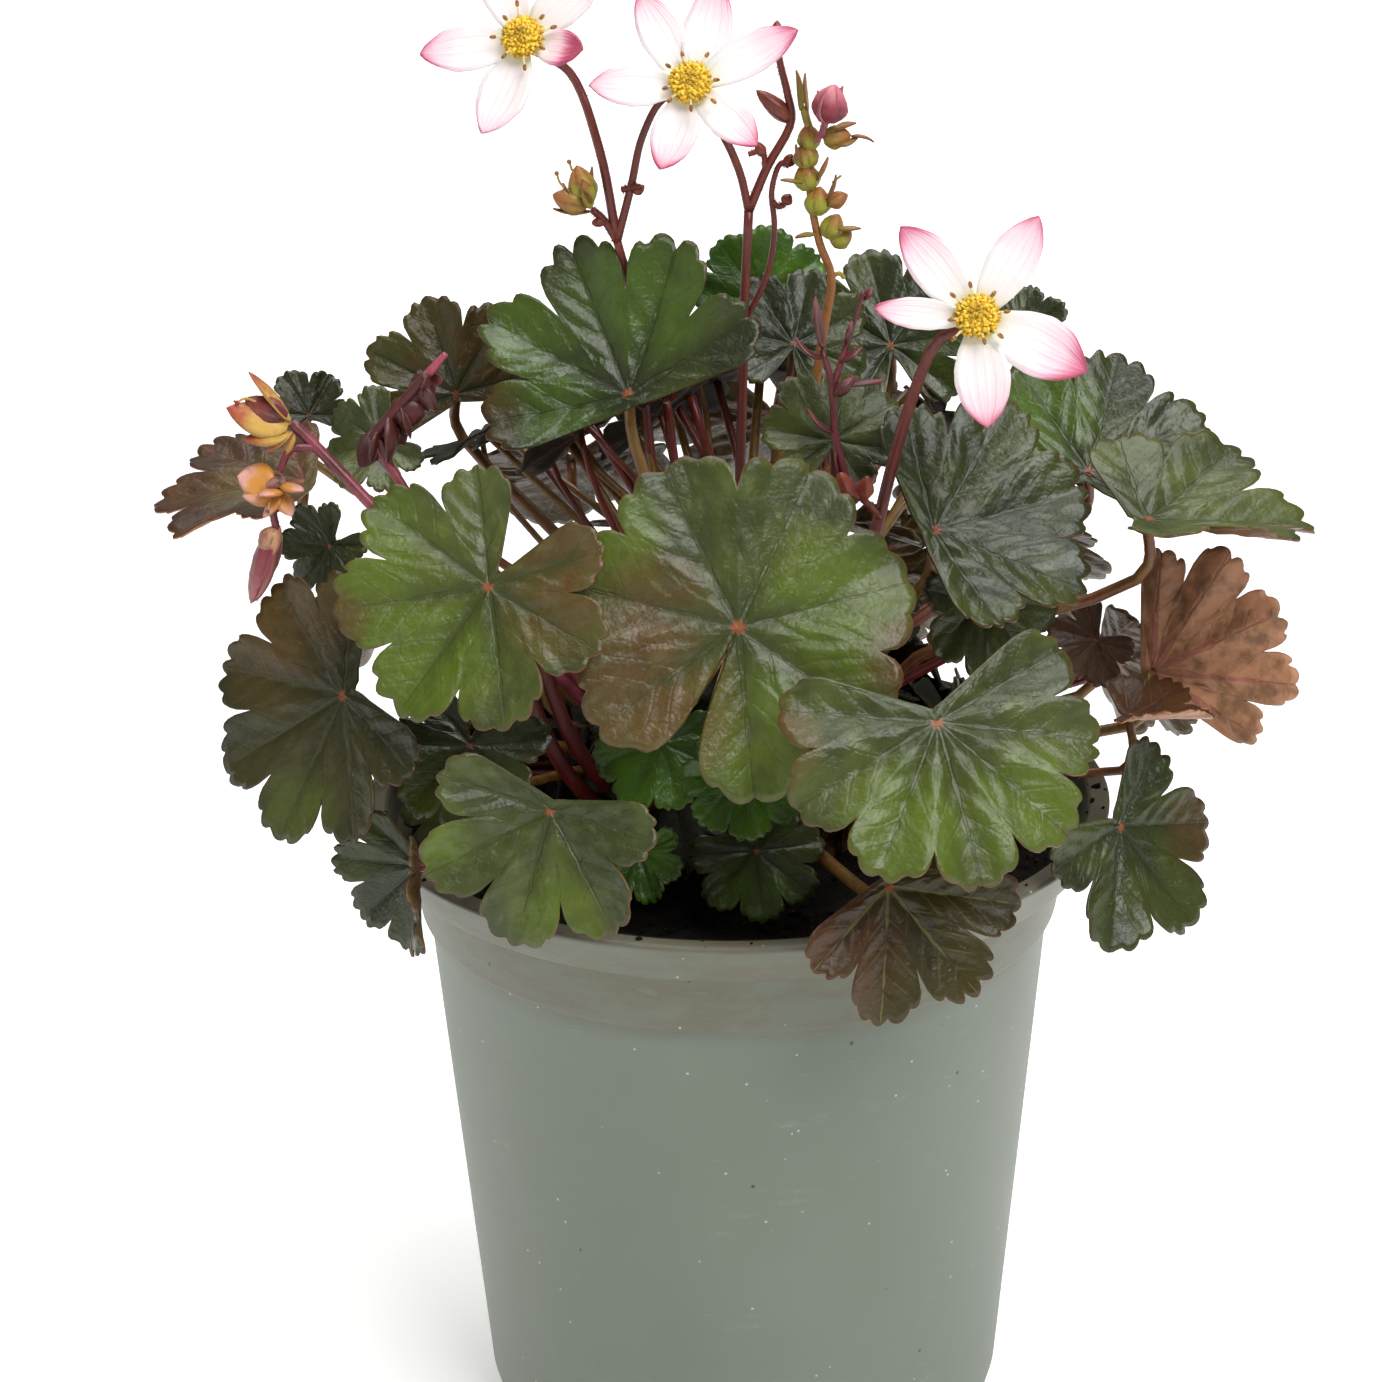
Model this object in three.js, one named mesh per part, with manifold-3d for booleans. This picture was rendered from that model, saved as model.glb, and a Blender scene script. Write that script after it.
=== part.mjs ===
// A potted saxifrage: a round plastic pot of soil, lobed leaves on red stalks, and white and pink blooms.
// Millimetres, +Z up. The origin is the middle of the pot's flat base, and the front of the plant faces -Y.
import * as THREE from "three";
import { mergeVertices } from "three/addons/utils/BufferGeometryUtils.js";
import Module from "manifold-3d";

const wasm = await Module();
wasm.setup();

// Driving sizes
const potHeight = 118;
const rimRadius = 65;
const bandTop = 110.6; // lower edge of the wide upper band
const bandTopRadius = 61.5;
const bandLow = 98.7; // lower edge of the narrower second band
const bandLowRadius = 56;
const bandLowTopRadius = 58;
const bodyTopRadius = 54.6;
const footRadius = 47.2;
const footHeight = 6;
const baseRadius = 44;
const wall = 1.5;
const potSides = 30;
const floorThick = 2.2;
const drainHoles = 8;
const drainRadius = 3.5;
const drainCircle = 30;
const soilTop = 111;
const crownRadius = 22;
const crownFloor = 104;
const footTop = 112; // where the stalks leave the crown
const gap = 0.3; // kept between pieces that touch
const flats = 0.4; // how far the flats of the round wall stand in from its corners
const bladeThick = 0.9;
const stalkRadius = 1;
const turnOfWave = 1.3; // how far the waves of one leaf are turned from the last one's
const notchAtStalk = 0.62; // reach of the notch beside the stalk, as a part of the lobe's
const ringReach = 0.5; // how far out a blade's inner ring lies
const heelReach = 0.08; // how far the blade runs behind the stalk

const colours = {
  pot: 0x8f9c95,
  soil: 0x17120f,
  stalk: 0x6b1d1d,
  flowerStem: 0x7a2326,
  petal: 0xf6e9ee,
  pollen: 0xd9b51e,
  redBud: 0x8c2f3d,
  greenBud: 0xa08a35,
  spent: 0xc98a52,
  youngRed: 0x9b2f3f,
  lime: 0x5d9a2a,
  grey: 0x5c6f57,
  deep: 0x2f6a28,
  bronze: 0x4b5230,
  olive: 0x6a5b2c,
  mauve: 0x7d5446,
};

const plant = new THREE.Group();

function add(name, geometry, colour, roughness = 0.6) {
  const material = new THREE.MeshStandardMaterial({ color: colour, roughness, metalness: 0 });
  const mesh = new THREE.Mesh(geometry, material);
  mesh.name = name;
  plant.add(mesh);
}

// Joining and cutting closed shapes
function toSolid(geometry) {
  const bare = geometry.clone();
  bare.deleteAttribute("normal");
  bare.deleteAttribute("uv");
  const merged = mergeVertices(bare, 1e-4);
  const mesh = new wasm.Mesh({
    numProp: 3,
    vertProperties: new Float32Array(merged.attributes.position.array),
    triVerts: new Uint32Array(merged.index.array),
  });
  return new wasm.Manifold(mesh);
}

function toGeometry(solid) {
  const mesh = solid.getMesh();
  const geometry = new THREE.BufferGeometry();
  geometry.setAttribute("position", new THREE.BufferAttribute(new Float32Array(mesh.vertProperties), 3));
  geometry.setIndex(new THREE.BufferAttribute(new Uint32Array(mesh.triVerts), 1));
  return geometry;
}

function join(geometries) {
  return toGeometry(geometries.map(toSolid).reduce((whole, next) => whole.add(next)));
}

// A turned shape about the Z axis, from [radius, height] points that start and end on the axis
function turned(points, segments) {
  const profile = points.map(([radius, height]) => new THREE.Vector2(radius, height));
  return new THREE.LatheGeometry(profile, segments).rotateX(Math.PI / 2);
}

// A unit vector at an azimuth and at an angle from straight up
function direction(az, lean) {
  return new THREE.Vector3(Math.sin(lean) * Math.cos(az), Math.sin(lean) * Math.sin(az), Math.cos(lean));
}

// The frame of a leaf or bloom: Z is its facing, X runs down its slope turned by the spin, in degrees
function frameAt({ at, faces, tilt, spin }) {
  const [az, lean, turn] = [faces, tilt, spin].map(THREE.MathUtils.degToRad);
  const z = direction(az, lean);
  const down = direction(az, lean + Math.PI / 2);
  const x = down.clone().applyAxisAngle(z, turn);
  const y = z.clone().cross(x);
  return new THREE.Matrix4().makeBasis(x, y, z).setPosition(new THREE.Vector3(...at));
}

// Height of a blade over its own plane: droop, cup, fold, waves, and a channel along each lobe's vein
function bladeHeight(leaf, x, y) {
  const r = Math.hypot(x, y) / leaf.size;
  const angle = Math.atan2(y, x);
  const { spread = 46, cup = 2, fold = 0, wave = 1.5, bend = 2, phase = 0 } = leaf;
  const folded = Math.tan(THREE.MathUtils.degToRad(fold)) * (Math.hypot(y, 2) - 2);
  const channel = -0.035 * leaf.size * Math.pow(r, 1.3) * Math.cos((360 / spread) * angle);
  const ripple = wave * r * r * (Math.sin(2 * angle + phase) + 0.6 * Math.sin(3 * angle + 2 * phase));
  const tip = -bend * r * r * Math.max(0, Math.cos(angle));
  return cup * r * r + folded + channel + ripple + tip;
}

// A lobed blade: an outline of toothed lobes, an inner ring and the point where the stalk joins
function blade(leaf) {
  const { size, lobes = 7, spread = 46, cut = 0.27, teeth = 3, taper = 0.2 } = leaf;
  const lobeAngle = THREE.MathUtils.degToRad(spread);
  const midLobe = (lobes - 1) / 2;
  const lengths = [...Array(lobes).keys()].map((lobe) => 1 - taper * Math.abs(lobe / midLobe - 1) ** 3);
  // Offsets from a lobe's middle, as parts of its half width, and how far out each one reaches
  const fine = [[-0.68, 0.91], [-0.42, 0.89], [-0.17, 1], [0.17, 1], [0.42, 0.89], [0.68, 0.91]];
  const plain = [[-0.62, 0.9], [0, 1.02], [0.62, 0.9]];
  const marks = teeth === 3 ? fine : plain;
  const outline = [];
  const ring = [];
  const ringSpan = []; // the outline point that each ring point reaches
  for (let lobe = 0; lobe < lobes; lobe += 1) {
    const middle = (lobe - midLobe) * lobeAngle;
    const before = lobe === 0 ? lengths[0] : Math.min(lengths[lobe], lengths[lobe - 1]);
    const notch = size * before * (lobe === 0 ? notchAtStalk : 1 - cut);
    outline.push([middle - lobeAngle / 2, notch]);
    ring.push([middle - lobeAngle / 2, ringReach * notch]);
    ringSpan.push(outline.length - 1);
    for (const [offset, reach] of marks) {
      outline.push([middle + (offset * lobeAngle) / 2, size * lengths[lobe] * reach]);
    }
    ring.push([middle, ringReach * size * lengths[lobe]]);
    ringSpan.push(outline.length - 1 - Math.floor(marks.length / 2));
  }
  const end = (lobes / 2) * lobeAngle;
  const last = size * lengths[lobes - 1] * notchAtStalk;
  outline.push([end, last]);
  ring.push([end, ringReach * last]);
  ringSpan.push(outline.length - 1);

  const points = [[0, 0], ...outline, ...ring, [Math.PI, heelReach * size]];
  const firstRing = 1 + outline.length;
  const heel = points.length - 1;
  const top = [];
  for (let i = 0; i < ring.length - 1; i += 1) {
    const [a, b] = [firstRing + i, firstRing + i + 1];
    top.push([0, a, b]);
    const [start, stop] = [ringSpan[i], ringSpan[i + 1]];
    const turn = i % 2 === 0 ? start : stop; // the notch that this half of a lobe leans on
    if (i % 2 === 0) {
      top.push([a, 1 + turn, 2 + turn], [a, 2 + turn, b]);
      for (let k = start + 1; k < stop; k += 1) top.push([b, 1 + k, 2 + k]);
    } else {
      for (let k = start; k < stop - 1; k += 1) top.push([a, 1 + k, 2 + k]);
      top.push([a, stop, b], [b, stop, 1 + stop]);
    }
  }
  top.push([0, firstRing + ring.length - 1, heel], [0, heel, firstRing]);
  top.push([firstRing + ring.length - 1, outline.length, heel], [heel, 1, firstRing]);

  const rim = [...outline.keys()].map((k) => 1 + k);
  rim.push(heel);
  const flat = points.map(([angle, r]) => [r * Math.cos(angle), r * Math.sin(angle)]);
  return sheet(flat, top, rim, (x, y) => bladeHeight(leaf, x, y)).applyMatrix4(frameAt(leaf));
}

// A thin closed body: the same triangles on both faces, and a wall round the rim
function sheet(points, top, rim, height) {
  const count = points.length;
  const position = [];
  for (const side of [0.5, -0.5]) {
    for (const [x, y] of points) position.push(x, y, height(x, y) + side * bladeThick);
  }
  const index = [];
  for (const [a, b, c] of top) index.push(a, b, c, count + a, count + c, count + b);
  for (let k = 0; k < rim.length; k += 1) {
    const [a, b] = [rim[k], rim[(k + 1) % rim.length]];
    index.push(a, count + a, b, b, count + a, count + b);
  }
  const geometry = new THREE.BufferGeometry();
  geometry.setAttribute("position", new THREE.Float32BufferAttribute(position, 3));
  geometry.setIndex(index);
  return geometry;
}

// A round stalk or stem along a smooth line through some points
function tube(points, radius, steps, sides = 6) {
  const through = points.map((point) => new THREE.Vector3(...point));
  const line = new THREE.CatmullRomCurve3(through, false, "centripetal");
  const ring = [];
  for (let k = 0; k < sides; k += 1) {
    const angle = (2 * Math.PI * k) / sides;
    ring.push(new THREE.Vector2(radius * Math.cos(angle), radius * Math.sin(angle)));
  }
  return new THREE.ExtrudeGeometry(new THREE.Shape(ring), { extrudePath: line, steps, curveSegments: 1 });
}

// A bud: a turned egg with a pointed end, standing on its base and then leaned
function bud(at, length, radius, faces, tilt) {
  const egg = [[0, 0], [0.8, 0.16], [1, 0.42], [0.62, 0.8], [0, 1]];
  const shape = turned(egg.map(([r, h]) => [r * radius, h * length]), 5);
  return shape.applyMatrix4(frameAt({ at, faces, tilt, spin: 0 }));
}

// The pot
const outside = [
  [0, 0], [baseRadius, 0], [footRadius - 0.6, footHeight / 2], [footRadius, footHeight],
  [bodyTopRadius, bandLow - 0.6], [bandLowRadius, bandLow], [bandLowTopRadius, bandTop - 0.6],
  [bandTopRadius, bandTop], [rimRadius - 0.6, potHeight - 1.4], [rimRadius, potHeight - 0.7],
  [rimRadius - 0.7, potHeight], [rimRadius - 3.6, potHeight],
];
const inside = [
  [rimRadius - 4, potHeight - 0.5], [bandTopRadius - wall, bandTop + 1.2],
  [bandLowTopRadius - wall, bandTop - 1.8], [bandLowRadius - wall, bandLow + 1.2],
  [bodyTopRadius - wall, bandLow - 1.8], [footRadius - wall, footHeight],
  [baseRadius, floorThick], [0, floorThick],
];
let pot = toSolid(turned([...outside, ...inside], potSides));
for (let k = 0; k < drainHoles; k += 1) {
  const hole = new THREE.CylinderGeometry(drainRadius, drainRadius, 4 * floorThick, 8);
  hole.rotateX(Math.PI / 2).translate(drainCircle, 0, floorThick / 2);
  pot = pot.subtract(toSolid(hole.rotateZ((2 * Math.PI * k) / drainHoles)));
}
add("pot", toGeometry(pot), colours.pot, 0.55);

// The soil fills the pot and has a plain round hole for the crown
const inset = wall + gap + flats;
const soil = turned([
  [0, floorThick + gap], [baseRadius - gap - flats, floorThick + gap], [footRadius - inset, footHeight],
  [bodyTopRadius - inset, bandLow - 1.8], [bandLowRadius - inset, bandLow + 1.5],
  [bandLowTopRadius - inset, bandTop - 2], [bandLowTopRadius - 0.8, soilTop - 0.6],
  [50, soilTop + 0.4], [36, soilTop - 0.2], [crownRadius + 2 * gap, soilTop],
  [crownRadius + 2 * gap, crownFloor - gap], [0, crownFloor - gap],
], 24);
const bumpHeight = 0.7;
const soilPoints = soil.attributes.position;
for (let k = 0; k < soilPoints.count; k += 1) {
  const [x, y, z] = [soilPoints.getX(k), soilPoints.getY(k), soilPoints.getZ(k)];
  const r = Math.hypot(x, y);
  if (z > soilTop - 1 && r > 30 && r < 55) {
    soilPoints.setZ(k, z + bumpHeight * Math.sin(0.23 * x) * Math.cos(0.19 * y + 1));
  }
}
add("potting_soil", soil, colours.soil, 0.95);

// Leaves: where the stalk joins the blade, its facing, tilt and spin in degrees, where the stalk leaves the
// crown, and how steeply it comes up (drop). Then the length to the tip, and the blade's shape.
const leaves = [
  { name: "leaf_front_big", at: [0.5, -50, 165.5], faces: -88, tilt: 64, spin: 154, foot: [-2, -13],
    size: 28.2, shade: "grey", spread: 50, cut: 0.18, cup: 1, wave: 1, taper: 0.03 },
  { name: "leaf_front_right", at: [30, -66, 156], faces: -80, tilt: 50, spin: 8, foot: [8, -15],
    size: 26.2, shade: "grey", spread: 36, cut: 0.2, cup: 0, wave: 1, taper: 0.08 },
  { name: "leaf_front_left", at: [-38, -45, 171], faces: -105, tilt: 54, spin: -28, foot: [-8, -12],
    size: 24.5, shade: "grey", fold: 10 },
  { name: "leaf_left_low", at: [-62.5, -38, 150.5], faces: -122, tilt: 60, spin: -52, foot: [-15, -9],
    size: 26, shade: "bronze", spread: 38, cut: 0.28 },
  { name: "leaf_rim_left", at: [-28.5, -62, 140.5], faces: -98, tilt: 68, spin: -14, foot: [-9, -17],
    drop: 0.1, size: 22, shade: "grey", lobes: 5, spread: 46, cut: 0.34, fold: 12 },
  { name: "leaf_rim_right", at: [23, -64, 128], faces: -75, tilt: 66, spin: 34, foot: [6, -18],
    drop: 0.1, size: 22, shade: "olive", lobes: 5, spread: 42, cut: 0.3 },
  { name: "leaf_right_low", at: [62.5, -34, 124.5], faces: -50, tilt: 64, spin: 24, foot: [16, -10],
    drop: 0.1, size: 21.5, shade: "deep", lobes: 5, spread: 52, cut: 0.35 },
  { name: "leaf_right_turned", at: [71, -5, 140.5], faces: 62, tilt: 92, spin: -123, foot: [18, -2],
    size: 27, shade: "mauve", lobes: 5, spread: 28, cut: 0.2 },
  { name: "leaf_right_high", at: [62, 18, 169], faces: -85, tilt: 50, spin: 160, foot: [13, 2],
    size: 24.5, shade: "deep", lobes: 5, spread: 46 },
  { name: "leaf_right_wide", at: [68, -12, 170], faces: -80, tilt: 4, spin: 84, foot: [16, 0],
    size: 28, shade: "grey", lobes: 5, spread: 46, fold: 14 },
  { name: "leaf_mid_right", at: [32, -26, 173], faces: -78, tilt: 42, spin: 100, foot: [12, -5],
    size: 27, shade: "deep", lobes: 5, spread: 42, cut: 0.2, fold: 12 },
  { name: "leaf_top", at: [-17, -8, 191], faces: -95, tilt: 60, spin: -157, foot: [-5, -2],
    size: 27.5, shade: "deep", lobes: 5, spread: 40, cut: 0.32, cup: 4, bend: 0, taper: 0.1 },
  { name: "leaf_top_left", at: [-48.5, 25, 182.5], faces: -85, tilt: 72, spin: -165, foot: [-12, 8],
    size: 18, shade: "deep", lobes: 5, spread: 46, teeth: 1 },
  { name: "leaf_far_left", at: [-72.5, 0.5, 174.5], faces: -100, tilt: 6, spin: -80, foot: [-17, 0],
    size: 26, shade: "mauve", lobes: 5, spread: 38, fold: 5, bend: 4 },
  { name: "leaf_blue_left", at: [-61, 15, 177], faces: -100, tilt: 50, spin: -75, foot: [-14, 4],
    size: 11, shade: "grey", teeth: 1 },
  { name: "leaf_back_bright", at: [5.5, 32, 197], faces: -90, tilt: 72, spin: 172, foot: [1, 9],
    size: 13, shade: "lime", cut: 0.15, teeth: 1 },
  { name: "leaf_back_grey", at: [10.5, 14, 193.5], faces: -80, tilt: 58, spin: 160, foot: [3, 4],
    size: 14, shade: "deep", teeth: 1 },
  { name: "leaf_back_dull", at: [27.5, 22, 191], faces: -90, tilt: 62, spin: -168, foot: [8, 7],
    size: 18, shade: "deep", teeth: 1 },
  { name: "leaf_back_small", at: [51.5, 37, 189.5], faces: -85, tilt: 62, spin: 165, foot: [11, 11],
    size: 9, shade: "deep", teeth: 1 },
  { name: "leaf_mid_grey", at: [16.5, -10, 183.5], faces: -92, tilt: 55, spin: 170, foot: [6, -1],
    size: 13, shade: "grey", teeth: 1 },
  { name: "leaf_grey_right", at: [57.5, 31, 171], faces: -85, tilt: 58, spin: 175, foot: [14, 8],
    size: 14, shade: "grey", teeth: 1 },
  { name: "leaf_soil_middle", at: [3, -40, 123.5], faces: -90, tilt: 58, spin: 5, foot: [1, -19],
    size: 12, shade: "deep", teeth: 1 },
  { name: "leaf_drooping", at: [-51.5, -49, 125.5], faces: -150, tilt: 80, spin: 4, foot: [-18, -6],
    drop: 0.1, size: 15, shade: "deep", spread: 40, teeth: 1, fold: 26 },
  { name: "leaf_inner_right", at: [40.5, -22, 159.5], faces: -60, tilt: 62, spin: 30, foot: [14, -8],
    size: 15, shade: "deep", teeth: 1 },
  { name: "leaf_inner_left", at: [-42.5, -40, 142.5], faces: -112, tilt: 48, spin: 10, foot: [-16, -7],
    size: 15, shade: "deep", teeth: 1 },
  { name: "leaf_brown_right", at: [63, 8, 141.5], faces: -85, tilt: 60, spin: -50, foot: [18, 5],
    size: 9, shade: "mauve", lobes: 5, spread: 58, teeth: 1 },
  { name: "leaf_folded_right", at: [65.5, -18.5, 138], faces: 95, tilt: 4, spin: -98, foot: [18, -6],
    size: 14, shade: "mauve", lobes: 5, spread: 46, teeth: 1, fold: 16 },
  { name: "leaf_brown_left", at: [-76, 34, 176.5], faces: -70, tilt: 62, spin: -160, foot: [-17, 6],
    size: 9, shade: "bronze", lobes: 5, spread: 58, teeth: 1 },
  { name: "leaf_dark_left", at: [-67, -12, 167], faces: -110, tilt: 68, spin: -40, foot: [-17, -4],
    size: 9, shade: "deep", teeth: 1 },
  { name: "leaf_behind_left", at: [-30, 46, 164], faces: 112, tilt: 42, spin: 0, foot: [-7, 14],
    size: 25, shade: "deep", lobes: 5, spread: 58, teeth: 1 },
  { name: "leaf_behind_middle", at: [8, 54, 170], faces: 88, tilt: 48, spin: -15, foot: [2, 15],
    size: 27, shade: "deep", teeth: 1 },
  { name: "leaf_behind_right", at: [50, 48, 152], faces: 52, tilt: 50, spin: 25, foot: [10, 13],
    size: 25, shade: "deep", lobes: 5, spread: 58, teeth: 1 },
  { name: "leaf_side_left", at: [-66, 38, 142], faces: 148, tilt: 56, spin: -20, foot: [-15, 9],
    size: 24, shade: "deep", lobes: 5, spread: 58, teeth: 1 },
  { name: "leaf_side_right", at: [68, 34, 131], faces: 32, tilt: 58, spin: 10, foot: [16, 10],
    size: 23, shade: "deep", teeth: 1 },
  { name: "leaf_rim_behind_left", at: [-24, 66, 134], faces: 105, tilt: 66, spin: 5, foot: [-5, 18],
    drop: 0.1, size: 22, shade: "deep", lobes: 5, spread: 58, teeth: 1 },
  { name: "leaf_rim_behind_right", at: [26, 67, 134], faces: 72, tilt: 62, spin: -8, foot: [6, 18],
    drop: 0.1, size: 24, shade: "deep", teeth: 1 },
  { name: "leaf_left_side_low", at: [-70, 4, 134], faces: 178, tilt: 64, spin: 8, foot: [-19, 2],
    size: 22, shade: "deep", lobes: 5, spread: 58, teeth: 1 },
];

leaves.forEach((leaf, k) => add(leaf.name, blade({ ...leaf, phase: turnOfWave * k }), colours[leaf.shade]));

// The crown in the soil, with every red leaf stalk grown from it
function stalkLine(leaf) {
  const under = new THREE.Vector3(0, 0, -1).transformDirection(frameAt(leaf));
  const { drop = 0.8 } = leaf;
  const at = new THREE.Vector3(...leaf.at);
  const end = at.clone().addScaledVector(under, bladeThick / 2 + gap + drop * stalkRadius);
  const arrival = under.multiplyScalar(0.6).add(new THREE.Vector3(0, 0, -drop)).setLength(9);
  const foot = new THREE.Vector3(...leaf.foot, footTop);
  const rise = foot.clone().lerp(at, 0.5);
  rise.lerp(new THREE.Vector3(foot.x, foot.y, rise.z), 0.5); // steep at first
  return [foot, rise, end.clone().add(arrival), end].map((point) => point.toArray());
}
const crown = turned([
  [0, crownFloor], [crownRadius, crownFloor], [crownRadius, soilTop + 0.5], [crownRadius - 3, soilTop + 2.5],
  [12, soilTop + 4], [0, soilTop + 4.5],
], 16);
const stalks = leaves.map((leaf) => tube(stalkLine(leaf), stalkRadius, 4, leaf.teeth === 1 ? 4 : 5));
add("crown_and_stalks", join([crown, ...stalks]), colours.stalk);

// Blooms: petals are [angle round the bloom in degrees, length, widest half width, forward lift]
const petalBase = 1.4; // how far out of the middle a petal starts
const blooms = {
  left: {
    at: [-32, -5, 248], faces: -100, tilt: 62, spin: 0,
    petals: [
      [279, 15.5, 3.8, 1], [341, 15, 3.9, 1], [76, 9, 3, 4], [138, 15.5, 3.9, 1], [208, 15.5, 3.9, 1],
    ],
  },
  middle: {
    at: [-6, -8, 241], faces: -92, tilt: 60, spin: 0,
    petals: [
      [270, 14.6, 3.4, 1], [342, 13.2, 3.6, 1], [47, 13, 3.3, 0], [117, 17.4, 3.4, 2],
      [166, 15.8, 3.8, 1], [209, 15.8, 3.5, 1],
    ],
  },
  right: {
    at: [37, -40, 211], faces: -96, tilt: 64, spin: 0,
    petals: [
      [150, 16.4, 3.7, 1], [221, 16.8, 3.7, 1], [267, 14, 2.4, 2], [7, 15.4, 4.2, 0], [64, 17, 4.6, 1],
    ],
  },
};

function petal([angle, length, halfWidth, lift]) {
  const rows = [[0, 0.35], [0.3, 0.8], [0.55, 1], [0.8, 0.68]];
  const points = rows.flatMap(([along, wide]) => {
    return [-1, 0, 1].map((side) => [along * length, side * wide * halfWidth]);
  });
  points.push([length, 0]);
  const top = [];
  for (let row = 0; row < rows.length - 1; row += 1) {
    for (const a of [3 * row, 3 * row + 1]) top.push([a, a + 3, a + 4], [a, a + 4, a + 1]);
  }
  top.push([9, 12, 10], [10, 12, 11]);
  const shape = sheet(points, top, [0, 3, 6, 9, 12, 11, 8, 5, 2, 1], (x, y) => {
    return lift * (x / length) ** 2 + 0.5 * (y / halfWidth) ** 2;
  });
  return shape.translate(petalBase, 0, 0).rotateZ(THREE.MathUtils.degToRad(angle));
}

function bloomCentre() {
  const dome = turned([[0, 0.9], [2.3, 0.9], [2.7, 1.8], [1.5, 3.4], [0, 4.1]], 7);
  const parts = [dome];
  const stamens = 5;
  for (let k = 0; k < stamens; k += 1) {
    const thread = new THREE.CylinderGeometry(0.35, 0.45, 3.2, 3).rotateZ(-0.95).translate(3.1, 2.5, 0);
    const tip = new THREE.OctahedronGeometry(0.75).translate(4.4, 3.4, 0);
    for (const piece of [thread, tip]) {
      parts.push(piece.rotateX(Math.PI / 2).rotateZ((2 * Math.PI * k) / stamens + 0.2));
    }
  }
  return join(parts);
}

for (const [side, bloom] of Object.entries(blooms)) {
  const disc = new THREE.CylinderGeometry(2.5, 1.9, 1.3, 8).rotateX(Math.PI / 2).translate(0, 0, -0.2);
  const frame = frameAt(bloom);
  add(`bloom_${side}_petals`, join([disc, ...bloom.petals.map(petal)]).applyMatrix4(frame), colours.petal);
  add(`bloom_${side}_centre`, bloomCentre().applyMatrix4(frame), colours.pollen);
}

// A stem's last points behind a bloom, and the small cup that the bloom sits on
const discBack = 0.85;
function behind(bloom, depth) {
  return new THREE.Vector3(0, 0, -depth).applyMatrix4(frameAt(bloom)).toArray();
}

function cup(bloom) {
  const shape = turned([[0, -2.6], [0.9, -2.6], [1.9, -discBack - gap], [0, -discBack - gap]], 7);
  return shape.applyMatrix4(frameAt(bloom));
}

// Flower stems: each forks to its blooms and buds
const stemRadius = 0.95;
const twigRadius = 0.75;
const leftFork = [-18.5, -1, 215];
add("stem_left", join([
  tube([
    [-9, 6, 116], [-12, 6, 150], [-14.5, 4, 184], [-15.4, 3.4, 196], [-16.6, 2, 206], leftFork,
  ], stemRadius, 8, 5),
  tube([
    leftFork, [-21, -1, 230], [-25.5, 1, 242], behind(blooms.left, 4), behind(blooms.left, 2),
  ], stemRadius, 6, 5),
  tube([
    leftFork, [-16, -1.5, 224], [-14, -1.5, 232], [-10.5, -2, 238], behind(blooms.middle, 4),
  ], twigRadius, 5, 5),
  tube([leftFork, [-20.5, -1.5, 218.5], [-22.3, -2.6, 220.5]], twigRadius, 2, 5),
  tube([[-17.5, -1.5, 223.5], [-14.5, -2.5, 224.2]], 0.6, 1, 4),
  cup(blooms.left),
]), colours.flowerStem);

const middleFork = [3, 2, 219];
const knot = [10, 2, 233.5];
add("stem_middle", join([
  tube([[-3, 4, 116], [0, 5, 150], [1.6, 5, 186], [2, 4, 200], middleFork], stemRadius, 7, 5),
  tube([
    middleFork, [1.5, 0, 226], [-1.5, -2.5, 233], behind(blooms.middle, 4), behind(blooms.middle, 2),
  ], twigRadius, 5, 5),
  tube([middleFork, [6, 2, 226], knot, [9.4, 2, 238], [8.2, 2, 243]], stemRadius, 5, 5),
  bud(knot, 7.6, 1.4, 180, 48),
  tube([[5.8, 2, 225.5], [5.2, 1.4, 228.8], [3, 1.2, 228.4]], 0.6, 2, 4),
  bud([5.6, 1.6, 228], 2.8, 0.9, 180, 30),
  cup(blooms.middle),
]), colours.flowerStem);

add("stem_right", join([
  tube([
    [5, -9, 116], [10, -14, 138], [18, -18, 158], [23, -21, 172], [25, -24, 182], [28, -30, 196],
    [32, -35.6, 207], behind(blooms.right, 4), behind(blooms.right, 2),
  ], 1.1, 9, 5),
  tube([[23.5, -22, 174], [20, -27, 179], [17, -30, 181]], 0.7, 3, 4),
  bud([18, -29, 180], 5, 1.5, -120, 30),
  bud([20.5, -26.5, 178.5], 4.5, 1.4, -60, 20),
  bud([17, -30, 180.6], 4, 1.3, 190, 70),
  cup(blooms.right),
]), colours.flowerStem);

// Buds and seed heads on the flower stems
const leftKnot = [-23, -3, 221];
add("buds_left", join([
  bud(leftKnot, 6.6, 2.3, 180, 18), bud(leftKnot, 6.4, 2, 190, 74), bud(leftKnot, 6.6, 1.2, 175, 108),
]), colours.greenBud);
add("bud_pink", bud([15.4, -3.4, 234], 6, 2.9, 0, 22), colours.redBud);
add("seed_heads", join([
  tube([
    [9, 2, 116], [11, 3, 150], [13.5, 3, 186], [15.5, 3, 200], [16.5, 1.5, 208], [14.5, 0, 214], [13, 0, 222],
  ], twigRadius, 7, 4),
  bud([13, 0, 219.5], 9, 2.2, 200, 8), bud([12.6, 0, 226], 8, 2.5, 190, 4), bud([13, 0, 232], 9.5, 1, 170, 8),
  bud([14, -0.4, 214], 6.2, 2.5, 10, 40), bud([14, -0.4, 218.5], 6.4, 1.7, 0, 72),
  bud([13, -0.4, 229], 9, 2, 0, 86),
]), colours.greenBud);

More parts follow.
